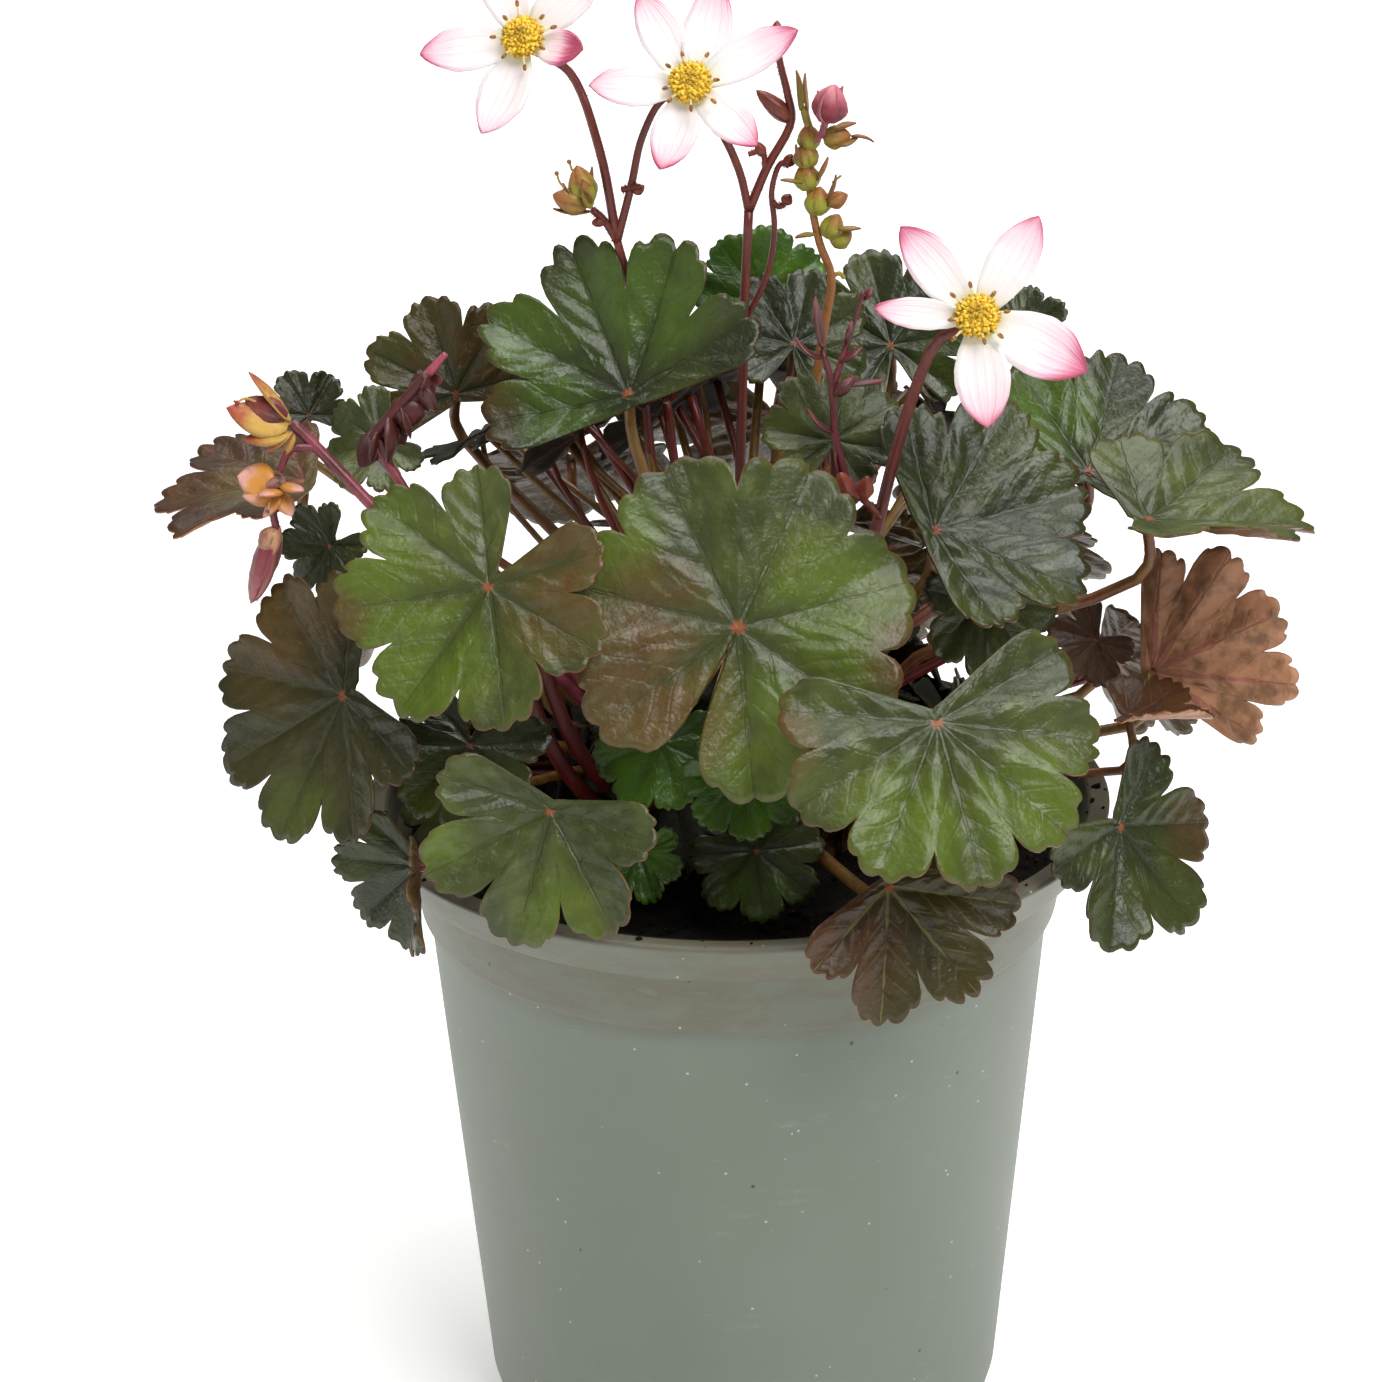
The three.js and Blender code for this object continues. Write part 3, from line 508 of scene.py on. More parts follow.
def leafPaint(shade):
    look = dict(zip(shadeParts, leafShades[shade]))
    paint = newPaint(shade + "Leaf", {
        "Specular IOR Level": 0.34, "Coat Weight": look["shine"], "Coat Roughness": 0.24,
        "Sheen Weight": 0.02, "Sheen Roughness": 0.5,
    })
    along, across, out = threeOf("lobeRun")
    brown, bright, side = threeOf("tint")
    place = surfacePlace()
    broad = cloud(place, 62, 2)
    patchy = cloud(place, 260, 2)
    grain = cloud(place, 1900, 1, 0.65)
    beads = cloud(place, 820, 1, 0.6)
    streaks = cloud(stretched(along, across, 5, 12), 1, 2, 0.5)
    # veins: one down each lobe in a valley darkened with painted shade, and side veins that leave it at a
    # slant
    nearMiddle = maths("ABSOLUTE", plus(across, times(minus(patchy), 0.05)))
    lineWidth = faded(along, 0.0, 1.0, 0.021, 0.006)
    mainVein = faded(maths("DIVIDE", nearMiddle, lineWidth), 0.3, 1.0, 1.0, 0.0)
    # painted shade: the deep colour laid along the furrow of each lobe's vein
    valleyShade = times(faded(nearMiddle, 0.0, 0.12, 1.0, 0.0), faded(along, 0.1, 0.95, 0.8, 0.15))
    slanted = minus(along, times(across, leafForm["sideVeinSlope"]))
    ladder = plus(maths("DIVIDE", slanted, leafForm["sideVeinEvery"]), times(broad, 1.4))
    sideVein = faded(maths("PINGPONG", ladder, 0.5), 0.02, 0.11, 1.0, 0.0)
    sideVein = times(sideVein, faded(out, 0.78, 0.96, 0.34, 0.0), faded(patchy, 0.3, 0.6, 0.3, 1.0))
    veins = maths("MAXIMUM", mainVein, sideVein)
    net = faded(cells(place, 640, "DISTANCE_TO_EDGE"), 0.0, 0.12, 1.0, 0.0)
    # pale streaks: partly the leaves' own whitish bloom, partly painted sheen, whitish highlights of their
    # gloss
    frost = times(faded(streaks, 0.4, 0.72), faded(patchy, 0.36, 0.64, 0.25, 1.0))
    frost = times(frost, faded(veins, 0.0, 1.0, look["frost"], 0.1), faded(grain, 0.3, 0.6, 0.6, 1.0))
    edgeAt = plus(out, times(minus(patchy), 0.08))
    margin = times(faded(edgeAt, 0.965, 1.01, 0.0, 0.75), faded(patchy, 0.35, 0.6, 1.0, 0.3))
    colour = layered(
        look["base"],
        (faded(broad, 0.38, 0.62), look["deep"]),
        (times(bright, faded(patchy, 0.25, 0.6, 0.55, 1.0)), look["bright"]),
        (times(brown, faded(patchy, 0.3, 0.6, 0.55, 1.0)), look["brown"]),
        (times(valleyShade, 0.75), look["deep"]),
        (frost, look["pale"]),
        (times(net, 0.05), look["deep"]),
        (times(veins, 0.5), look["vein"]),
        (margin, look["margin"]),
        (faded(out, 0.05, 0.5, 0.4, 0.0), look["deep"]),
        (faded(out, 0.02, 0.06, 0.85, 0.0), bladeTones["stalkSpot"]),
    )
    under = layered(
        look["under"],
        (times(mainVein, 0.7), bladeTones["underVein"]),
        (faded(patchy, 0.4, 0.7, 0.0, 0.55), look["deep"]),
    )
    feed(shader.inputs["Roughness"], faded(patchy, 0.3, 0.7, look["gloss"] + 0.1, look["gloss"]))
    relief = minus(minus(times(grain, 0.12), times(veins, 0.6)), times(net, 0.07))
    relief = plus(plus(relief, times(streaks, 0.6)), times(beads, 0.8))
    dress(layered(under, (faded(side, 0.3, 0.7), colour)), relief, 0.0004, 0.6)
    return paint


def lobeLength(form, lobe):
    middle = (form["lobes"] - 1) / 2
    return 1 - form["taper"] * abs(lobe / middle - 1) ** 3


def leafReach(form, angle, seed):
    # how far out the blade runs at an angle from its midrib, as a part of its size
    spread = math.radians(form["spread"])
    half = form["lobes"] * spread / 2
    if abs(angle) >= half:
        end = lobeLength(form, 0) * form["notchAtStalk"]
        heel = form["heelReach"]
        across = end * math.sin(abs(angle) - half) + heel * math.sin(math.pi - abs(angle))
        return end * heel * math.sin(math.pi - half) / max(across, 1e-6)
    lobe = min(int((angle + half) / spread), form["lobes"] - 1)
    offset = 2 * ((angle + half) / spread - lobe) - 1
    uneven = 0.16 * noise.noise((lobe * 2.3, 2.2 * offset, seed))
    toothAt = offset + uneven * (1 - offset ** 2)
    beside = lobe + (1 if offset > 0 else -1)
    length = lobeLength(form, lobe)
    notch = length * form["notchAtStalk"]
    if 0 <= beside < form["lobes"]:
        notch = min(length, lobeLength(form, beside)) * (1 - form["cut"])
    body = notch + (length - notch) * (1 - offset ** 2) ** form["lobeRound"]
    tooth = (toothAt + 1) / 2 * form["teeth"]
    uneven = 1 + 0.7 * noise.noise((lobe * 3.1, int(tooth) * 1.7, seed))
    dent = 1 - abs(math.sin(math.pi * tooth)) ** form["toothRound"]
    return body * (1 - form["toothDepth"] * uneven * dent)


def roundNoise(scale, angle, seed):
    # noise along a circle, so that it meets itself
    return noise.noise((scale * math.cos(angle), scale * math.sin(angle), seed))


def leafHeight(form, x, y, waveTurn):
    # droop, cup, fold, waves and a channel along each lobe's vein
    out = math.hypot(x, y) / form["size"]
    angle = math.atan2(y, x)
    folded = math.tan(math.radians(form["fold"])) * (math.hypot(y, 0.002) - 0.002)
    lobeTurn = 2 * math.pi * angle / math.radians(form["spread"])
    channel = -form["channel"] * form["size"] * out ** 1.3 * math.cos(lobeTurn)
    waves = math.sin(2 * angle + waveTurn) + 0.6 * math.sin(3 * angle + 2 * waveTurn)
    tip = -form["bend"] * out ** 2 * max(0, math.cos(angle))
    ruffle = form["ruffle"] * out ** 3 * roundNoise(2.6, angle, waveTurn)
    return form["cup"] * out ** 2 + folded + channel + form["wave"] * out ** 2 * waves + tip + ruffle


def bladeAngle(form, column, columns):
    # the grid's columns are shared out: most of them to the lobes, a few to the gap beside the stalk
    half = math.radians(form["lobes"] * form["spread"]) / 2
    bladeColumns = (columns - form["heelSteps"]) / 2
    if abs(column) <= bladeColumns:
        return column / bladeColumns * half
    beyond = (abs(column) - bladeColumns) / (form["heelSteps"] / 2)
    return math.copysign(half + beyond * (math.pi - half), column)


def patchWeight(form, kind, spot):
    # 1 in the middle of a patch, 0 outside them all
    weight = 0
    for toward, reach, radius in form[kind]:
        centre = roundAt(reach, math.radians(toward - form["spin"]))
        weight = max(weight, max(0, 1 - ((spot - centre).length / radius) ** 2) ** 0.8)
    return weight


def growBlade(bm, form, waveTurn):
    # a grid is rolled round to a disc, and each of its points moved out to the lobed and toothed outline
    columns = form["lobes"] * form["teeth"] * form["toothSteps"] + form["heelSteps"]
    sheet = newMesh("lobeRun", "tint")
    grid = newGrid(sheet, form["rings"], columns)
    lobeRun, tint = (sheet.verts.layers.float_vector[name] for name in ("lobeRun", "tint"))
    spread = math.radians(form["spread"])
    midLobe = (form["lobes"] - 1) / 2
    for vert in grid:
        out = (vert.co.x + 1) / 2
        angle = bladeAngle(form, vert.co.y * columns / 2, columns)
        reach = out * leafReach(form, angle, waveTurn)
        spot = roundAt(reach, angle)
        x, y, _ = form["size"] * spot
        lobe = max(-midLobe, min(midLobe, round(angle / spread)))
        along = reach * math.cos(angle - lobe * spread)
        across = abs(reach * math.sin(angle - lobe * spread))
        slope = (along - form["sideVeinSlope"] * across) / form["sideVeinEvery"]
        slope += form["sideVeinWander"] * noise.noise((4 * spot.x, 4 * spot.y, waveTurn))
        pucker = form["size"] * math.sin(math.pi * min(1, out)) * math.cos(2 * math.pi * slope)
        groove = math.exp(-(across / form["grooveWidth"]) ** 2) * min(1, 3 * out) * (1 - out)
        crinkle = form["crinkle"] * out ** 3 * roundNoise(7, angle, waveTurn)
        height = leafHeight(form, x, y, waveTurn)
        vert.co = (x, y, height - form["quilt"] * pucker - form["groove"] * groove + crinkle)
        vert[lobeRun] = (along, across, out)
        vert[tint] = (patchWeight(form, "brown", spot), patchWeight(form, "bright", spot), 1)
    bmesh.ops.remove_doubles(sheet, verts=grid, dist=5e-7)
    top = list(sheet.verts)
    for vert in thickened(sheet, top, form["thick"])[len(top):]:
        vert[tint] = (*vert[tint][:2], 0)
    bmesh.ops.transform(sheet, matrix=frameOf(form), verts=sheet.verts[:])
    pour(bm, sheet)


# Tufts: small leaves that share a foot in the soil. bow is how far their stalks lean out on the way.
tuftForm = {"radiusLow": 0.0009, "radiusHigh": 0.0007, "reddest": 0.6, "yellowest": 1.3}
tufts = {
    "young_green_leaves": {"shade": "lime", "foot": (-0.005, -0.024, 0.1119), "bow": 0.007, "blades": [
        leafAt((-0.012, -0.036, 0.141), -100, 56, -24, 0.012, cut=0.18),
        leafAt((0.001, -0.042, 0.138), -85, 62, 4, 0.011, cut=0.18),
        leafAt((-0.016, -0.041, 0.124), -110, 60, -20, 0.009),
    ]},
    "inner_leaves": {"shade": "deep", "foot": (0.003, 0.0245, 0.1119), "bow": -0.004, "blades": [
        leafAt((-0.013, 0.03, 0.158), 112, 30, 0, 0.015, lobes=5, spread=58),
        leafAt((0.0205, 0.0345, 0.1555), 65, 32, 0, 0.015, lobes=5, spread=58),
    ]},
}

# Small leaves that fill the inside of the mound, and a skirt of them over the soil at the sides and the back
innerForm = {
    "heart": 30, "nearReach": 0.008, "farReach": 0.043, "frontShare": 0.72, "high": 0.156, "low": 0.124,
    "heartTilt": 22, "heartOpens": 34, "skirt": 15, "skirtFrom": -25, "skirtTo": 205, "skirtReach": 0.051,
    "skirtHeight": 0.1275, "skirtTilt": 52, "small": 0.009, "large": 0.0145,
    "blade": {"lobes": 5, "spread": 58, "teeth": 4, "rings": 7, "toothSteps": 3},
    "upper": [
        (-0.0335, 0.018, 0.181), (-0.026, 0.006, 0.181), (-0.02, 0.022, 0.182), (-0.0125, 0.01, 0.183),
        (-0.006, 0.026, 0.185), (0.012, 0.03, 0.184), (0.0225, 0.026, 0.178), (0.036, 0.026, 0.178),
        (-0.045, 0.03, 0.174),
    ],
    "upperSize": 0.0135, "upperTilt": 34, "upperFoot": 0.35, "spareStalks": 3,
}


def newInnerLeaf(turn, reach, height, tilt):
    at = roundAt(reach, turn, height + random.uniform(-0.005, 0.005))
    foot = roundAt(min(0.4 * reach, 0.9 * crown["radius"]), turn)[:2]
    return leafAt(
        at, math.degrees(turn) + random.uniform(-25, 25), tilt + random.uniform(-12, 12),
        random.uniform(-40, 40), random.uniform(innerForm["small"], innerForm["large"]), foot=foot,
        **innerForm["blade"],
    )


def planInnerLeaves():
    random.seed(31)
    form = innerForm
    heart, upper, skirt = [], [], []
    for k in range(form["heart"]):
        share = (k + 0.5) / form["heart"]
        turn = goldenTurn * k
        reach = form["nearReach"] + (form["farReach"] - form["nearReach"]) * math.sqrt(share)
        if math.sin(turn) < 0:
            reach *= form["frontShare"]
        height = form["high"] + (form["low"] - form["high"]) * share
        heart.append(newInnerLeaf(turn, reach, height, form["heartTilt"] + form["heartOpens"] * share))
    for k in range(form["skirt"]):
        share = (k + 0.5) / form["skirt"]
        turn = math.radians(form["skirtFrom"] + share * (form["skirtTo"] - form["skirtFrom"]))
        reach = form["skirtReach"] + random.uniform(-0.004, 0.003)
        skirt.append(newInnerLeaf(turn, reach, form["skirtHeight"], form["skirtTilt"]))
    for at in form["upper"]:
        leaf = newInnerLeaf(math.atan2(at[1], at[0]), 0, 0, form["upperTilt"])
        foot = (form["upperFoot"] * at[0], form["upperFoot"] * at[1])
        upper.append({**leaf, "at": at, "size": form["upperSize"], "foot": foot})
    return heart, upper, skirt


def growLeaves(name, blades, group, paint, slot, *nodes, first=0):
    bm = newMesh("lobeRun", "tint")
    for k, form in enumerate(blades, first):
        growBlade(bm, form, waveTurns[group] * k)
    finishPiece(name, bm, paint, slot, *nodes)


def makeLeaves(heart, skirt):
    paints = {shade: leafPaint(shade) for shade in leafShades}
    for k, (node, form) in enumerate(leaves.items()):
        shade = form["shade"]
        growLeaves(pieceName(node), [form], "leaves", paints[shade], "leaf_" + shade, node, first=k)
    for node, tuft in tufts.items():
        shade = tuft["shade"]
        growLeaves(pieceName(node), tuft["blades"], "tufts", paints[shade], "leaf_" + shade, node)
    # the leaves inside the mound wear the shaded colours, which are painted shade
    growLeaves("heartLeaves", heart, "inner", paints["shaded"], "leaf_deep")
    growLeaves("skirtLeaves", skirt, "inner", paints["deep"], "leaf_deep")
    print("leaves made")


# The crown in the soil and the leaf stalks. Their tone runs from red, 0, to olive orange, 1; old is brown.
stalk = {
    "footTop": 0.112, "radiusLow": 0.00125, "radiusHigh": 0.0009, "arrival": 0.009, "gapUnderBlade": 0.0004,
    "steps": 14, "sides": 8, "smallLeaf": 0.016, "smallShare": 0.8, "innerShare": 0.6, "innerSteps": 8,
    "innerSides": 6, "reddest": 0.1, "yellowest": 1.2, "streak": "2c0d0c", "oldDark": "2e2016",
    "oldLight": "6b4a2c",
}
hair = {"radius": 0.00006, "short": 0.0003, "long": 0.0007, "everyStalk": 36}
crown = {
    "floor": 0.104, "radius": 0.022, "edge": 0.111, "top": 0.1155, "steps": 48, "rows": 9, "rough": 0.0014,
    "roughScale": 260, "look": (0.6, 0, 0.85), "low": "641208", "high": "7c5a1c", "shine": 0.12,
    "oldStalks": 40, "oldRadius": 0.0016, "oldLength": 0.011, "oldSteps": 5, "oldSides": 6,
    "frontShare": 1.2, "frontTone": 0.05, "frontStalks": [
        [(-0.012, -0.017, 0.112), (-0.0275, -0.027, 0.1312), (-0.0365, -0.034, 0.157),
         (-0.0413, -0.0454, 0.1682)],
        [(-0.009, -0.016, 0.112), (-0.0255, -0.026, 0.1345), (-0.0325, -0.034, 0.159),
         (-0.0343, -0.0466, 0.169)],
        [(-0.014, -0.015, 0.112), (-0.03, -0.028, 0.126), (-0.046, -0.037, 0.133),
         (-0.0605, -0.0385, 0.1486)],
    ],
}


def stalkPaint(name, low, high, shine):
    paint = newPaint(name, {
        "Specular IOR Level": 0.5, "Coat Weight": shine, "Coat Roughness": 0.3, "Sheen Weight": 0.03,
    })
    tone, _, old = threeOf("stalkRun")
    streaks = cloud(surfacePlace((1, 1, 0.12)), 900, 3)
    blotches = cloud(surfacePlace(), 160)
    share = plus(tone, times(minus(blotches), 0.9))
    papery = layered(stalk["oldDark"], (faded(streaks, 0.35, 0.65), stalk["oldLight"]))
    colour = layered(
        low,
        (faded(share, 0.2, 0.9), high),
        (faded(streaks, 0.35, 0.7, 0.0, 0.4), stalk["streak"]),
        (old, papery),
    )
    feed(shader.inputs["Roughness"], faded(blotches, 0.3, 0.7, 0.36, 0.52))
    dress(colour, streaks, 0.0002, 0.6)
    return paint


def addHairs(bm, line, radii, count):
    # short stiff hairs that stand off a stem
    for k in range(count):
        step = random.uniform(0, len(line) - 1.001)
        low = int(step)
        heading = (line[low + 1] - line[low]).normalized()
        around = random.uniform(0, 2 * math.pi)
        outward = Matrix.Rotation(around, 3, heading) @ heading.orthogonal().normalized()
        length = random.uniform(hair["short"], hair["long"])
        at = line[low].lerp(line[low + 1], step - low) + outward * (0.9 * radii[low] + length / 2)
        bmesh.ops.create_cone(
            bm, cap_ends=True, segments=3, radius1=hair["radius"], radius2=0.2 * hair["radius"], depth=length,
            matrix=aimed(at, outward),
        )


def addStalk(bm, points, low, high, tone, steps=stalk["steps"], sides=stalk["sides"], hairs=0, old=0):
    part = newMesh("stalkRun")
    line, radii = bentLine(points, low, high, steps)
    addHairs(part, line, radii, hairs)
    setLayer(part, "stalkRun", part.verts, (tone + 0.5, 0, 0))
    setLayer(part, "stalkRun", rod(part, line, radii, sides), (tone, 0, old))
    pour(bm, part)


def stalkPoints(leaf):
    under = -frameOf(leaf).col[2].to_3d()
    at = Vector(leaf["at"])
    end = at + under * stalk["gapUnderBlade"]
    arrival = (0.6 * under - Vector((0, 0, leaf["drop"]))).normalized() * stalk["arrival"]
    foot = Vector((*leaf["foot"], stalk["footTop"]))
    rise = foot.lerp(at, 0.5)
    rise = rise.lerp(Vector((foot.x, foot.y, rise.z)), 0.5)  # steep at first
    return [foot, rise, end + arrival, end]


def addSpareStalk(bm, leaf):
    # one more stalk that ends under the same leaf, as the crowded stalks of the mound do
    turn, reach = random.uniform(0, 2 * math.pi), random.uniform(0.3, 0.8) * crown["radius"]
    foot = roundAt(reach, turn, stalk["footTop"])
    foot.y *= 0.6
    aside = 0.45 * leaf["size"] * direction(random.uniform(0, 2 * math.pi), math.pi / 2)
    end = frameOf(leaf) @ (aside - Vector((0, 0, stalk["gapUnderBlade"])))
    middle = foot.lerp(end, 0.5)
    middle = middle.lerp(Vector((foot.x, foot.y, middle.z)), random.uniform(0.2, 0.7))
    thick = random.uniform(0.6, 0.95)
    low, high = thick * stalk["radiusLow"], thick * stalk["radiusHigh"]
    addStalk(bm, [foot, middle, end], low, high, random.uniform(-0.2, 1.3), hairs=hair["everyStalk"] // 2)


def addOldStalks(bm):
    # brown stumps of last year's leaves round the crown
    for k in range(crown["oldStalks"]):
        turn = goldenTurn * k
        reach = crown["radius"] * math.sqrt((k + 1) / (crown["oldStalks"] + 1))
        foot = roundAt(reach, turn, crown["edge"])
        lean = math.radians(random.uniform(15, 75))
        away = direction(turn + random.uniform(-0.6, 0.6), lean)
        along = away * crown["oldLength"] * random.uniform(0.5, 1)
        points = [foot, foot + 0.5 * along, foot + along - Vector((0, 0, 0.15 * along.length))]
        size = crown["oldRadius"] * random.uniform(0.5, 1)
        addStalk(bm, points, size, 0.4 * size, 0, crown["oldSteps"], crown["oldSides"], old=1)


def makeCrown(heart, upper, skirt):
    random.seed(11)
    bm = newMesh("stalkRun")
    low, high = stalk["radiusLow"], stalk["radiusHigh"]
    for leaf in leaves.values():
        share = stalk["smallShare"] if leaf["size"] < stalk["smallLeaf"] else 1
        tone = random.uniform(stalk["reddest"], stalk["yellowest"])
        addStalk(bm, stalkPoints(leaf), share * low, share * high, tone, hairs=hair["everyStalk"])
    for leaf in heart + upper + skirt:
        share = stalk["innerShare"]
        tone = random.uniform(stalk["reddest"], stalk["yellowest"])
        addStalk(
            bm, stalkPoints(leaf), share * low, share * high, tone, stalk["innerSteps"], stalk["innerSides"],
        )
    for leaf in upper:
        for k in range(innerForm["spareStalks"]):
            addSpareStalk(bm, leaf)
    for points in crown["frontStalks"]:
        share = crown["frontShare"]
        addStalk(bm, points, share * low, share * high, crown["frontTone"], hairs=hair["everyStalk"])
    for tuft in tufts.values():
        foot = Vector(tuft["foot"])
        for leaf in tuft["blades"]:
            end = Vector(leaf["at"])
            points = [foot, foot.lerp(end, 0.5) + Vector((0, tuft["bow"], 0)), end]
            tone = random.uniform(tuftForm["reddest"], tuftForm["yellowest"])
            addStalk(bm, points, tuftForm["radiusLow"], tuftForm["radiusHigh"], tone)
    addOldStalks(bm)
    profile = [(0, crown["floor"]), (crown["radius"], crown["floor"])]
    profile += dome(crown["radius"], crown["edge"], crown["top"], crown["rows"])
    mound = spunShape(bm, profile, crown["steps"])
    for vert in mound:
        if vert.co.z > crown["edge"] - 0.0005:
            vert.co.z += crown["rough"] * noise.noise(vert.co * crown["roughScale"])
    setLayer(bm, "stalkRun", mound, crown["look"])
    paint = stalkPaint("redStalk", crown["low"], crown["high"], crown["shine"])
    finishPiece("crownAndStalks", bm, paint, "stalk", "crown_and_stalks")
    print("crown and stalks made")


# Blooms: petals are (angle round the bloom in degrees, length, widest half width, forward lift, blush);
# blush is how much further in than usual the pink comes.
bloomForm = {
    "petalBase": 0.0014, "alongSteps": 20, "acrossSteps": 8, "thick": 0.00035, "curve": 0.0007,
    "roll": 0.0016, "ridge": 0.00014, "lean": 0.0008, "ripple": 0.0003, "sway": 0.0006,
    "disc": [(0, -0.0009), (0.001875, -0.0009), (0.0025, 0), (0.00225, 0.0005), (0, 0.0006)], "discSteps": 20,
    "cup": [(0, -0.0026), (0.0009, -0.0026), (0.0017, -0.0018), (0.0021, -0.0009), (0, -0.0007)],
    "cupSteps": 14, "domeUnder": 0.0007, "domeRadius": 0.003, "domeFoot": 0.0012, "domeHeight": 0.0023,
    "domeRows": 7, "domeSteps": 24, "knobs": 250, "knobRadius": 0.00027, "knobStretch": 1.5,
    "knobProud": 0.0004, "stamens": 8, "stamenFoot": 0.002, "stamenLow": 0.0012, "stamenNear": 0.0038,
    "stamenFar": 0.0052, "stamenHigh": 0.0024, "stamenSpread": 0.0006, "stamenArch": 0.0006,
    "threadRadius": 0.00017, "threadSteps": 5, "threadSides": 5, "anther": 0.00042,
    "antherShape": (1.5, 0.8, 0.8, 1),
}
petalTones = {
    "heart": "d8dab4", "blade": "e9e2e2", "soft": "dacdd2", "vein": "d2a4b4", "blush": "e5a4bf",
    "pink": "c64c76", "tip": "9c2c4e",
}
centreTones = {
    "shadow": "907a1a", "gold": "dfae18", "light": "f3d03a", "grain": "f6e368", "thread": "dccf9a",
    "antherDark": "6a4222", "antherLight": "a8742c",
}
blooms = {
    "left": {"at": (-0.032, -0.005, 0.248), "faces": -100, "tilt": 62, "petals": [
        (279, 0.0155, 0.0038, 0.001, 0.02), (341, 0.015, 0.0039, 0.001, -0.1),
        (76, 0.009, 0.003, 0.004, 0.35), (138, 0.0155, 0.0039, 0.001, 0.02),
        (208, 0.0155, 0.0039, 0.001, 0.03),
    ]},
    "middle": {"at": (-0.006, -0.008, 0.241), "faces": -92, "tilt": 60, "petals": [
        (270, 0.0146, 0.0034, 0.001, -0.02), (342, 0.0132, 0.0036, 0.001, 0.03),
        (47, 0.013, 0.0033, 0, 0.05), (117, 0.0174, 0.0034, 0.002, 0.06),
        (166, 0.0158, 0.0038, 0.001, 0.04), (209, 0.0158, 0.0035, 0.001, 0),
    ]},
    "right": {"at": (0.037, -0.04, 0.211), "faces": -96, "tilt": 64, "petals": [
        (150, 0.0164, 0.0037, 0.001, 0.02), (221, 0.0168, 0.0037, 0.001, 0.08),
        (267, 0.014, 0.0024, 0.002, 0), (7, 0.0154, 0.0042, 0, 0.03), (64, 0.017, 0.0046, 0.001, 0.12),
    ]},
}


def petalPaint():
    paint = newPaint("petal", {
        "Roughness": 0.48, "Specular IOR Level": 0.35, "Subsurface Weight": 0.12, "Subsurface Scale": 0.0008,
        "Sheen Weight": 0.1,
    })
    along, side, blush = threeOf("petalRun")
    soft = cloud(surfacePlace(), 300, 3)
    streaks = cloud(stretched(along, side, 2, 9), 1, 3)
    lines = maths("PINGPONG", plus(times(side, 3), 0.5), 0.5)
    veins = times(faded(lines, 0.0, 0.22, 1.0, 0.0), faded(along, 0.15, 0.7, 0.1, 0.55))
    reach = plus(along, times(side, side, 0.16))
    reach = plus(plus(reach, times(minus(streaks), 0.3)), blush)
    colour = layered(
        petalTones["heart"],
        (faded(along, 0.02, 0.28), petalTones["blade"]),
        (times(soft, 0.22), petalTones["soft"]),
        (times(veins, 0.2), petalTones["vein"]),
        (faded(reach, 0.55, 1.0, 0.0, 0.6), petalTones["blush"]),
        (faded(reach, 0.86, 1.08, 0.0, 0.85), petalTones["pink"]),
        (faded(reach, 1.02, 1.18, 0.0, 0.8), petalTones["tip"]),
    )
    dress(colour, plus(veins, times(soft, 0.6)), 0.00018, 0.6)
    return paint


def petalWidth(along):
    return 0.35 * (1 - along) ** 3 + 0.97 * math.sin(math.pi * along ** 1.15) ** 0.72


def growPetal(bm, angle, length, halfWidth, lift, blush, seed):
    form = bloomForm
    grid = newGrid(bm, form["alongSteps"], form["acrossSteps"])
    layer = bm.verts.layers.float_vector["petalRun"]
    own = (("roll", 0), ("lean", 5), ("sway", 9))  # what differs from petal to petal
    roll, lean, sway = (form[kind] * noise.noise((seed, at, 0)) for kind, at in own)
    for vert in grid:
        along, side = (vert.co.x + 1) / 2, vert.co.y
        swell = math.sin(math.pi * along)
        uneven = 1 + 0.06 * noise.noise((7 * along, seed, 2 * side))
        width = halfWidth * uneven * max(petalWidth(min(along, 0.9999)), 0.02)
        height = lift * along ** 2 + roll * along ** 5 + lean * side * along
        height += (form["curve"] * side ** 2 + form["ridge"] * math.cos(3 * math.pi * side)) * swell
        height += form["ripple"] * abs(side) ** 3 * noise.noise((9 * along, seed, side))
        vert.co = (along * length, side * width + sway * swell, height)
        vert[layer] = (along, side, blush)
    place = Matrix.Rotation(math.radians(angle), 4, "Z") @ Matrix.Translation((form["petalBase"], 0, 0))
    bmesh.ops.transform(bm, matrix=place, verts=grid)


def makePetals(side, bloom, paint):
    bm = newMesh("petalRun")
    for k, given in enumerate(bloom["petals"]):
        growPetal(bm, *given, 1.37 * k + len(side))
    thickened(bm, bm.verts[:], bloomForm["thick"])
    setLayer(bm, "petalRun", spunShape(bm, bloomForm["disc"], bloomForm["discSteps"]), (0, 0, 0))
    bmesh.ops.transform(bm, matrix=frameOf(bloom), verts=bm.verts[:])
    finishPiece(f"bloom{side.title()}Petals", bm, paint, "petal", f"bloom_{side}_petals")


def pollenPaint():
    paint = newPaint("goldenCentre", {"Roughness": 0.55, "Specular IOR Level": 0.35, "Sheen Weight": 0.15})
    anther, bright, thread = threeOf("centreRun")
    grain = cloud(surfacePlace(), 2600, 4)
    dusty = layered(centreTones["antherDark"], (faded(grain, 0.4, 0.6), centreTones["antherLight"]))
    colour = layered(
        centreTones["shadow"],
        (faded(bright, 0.15, 0.7), centreTones["gold"]),
        (faded(bright, 0.5, 0.95), centreTones["light"]),
        (times(faded(grain, 0.5, 0.7), 0.6), centreTones["grain"]),
        (thread, centreTones["thread"]),
        (anther, dusty),
    )
    dress(colour, grain, 0.0002, 0.9)
    return paint


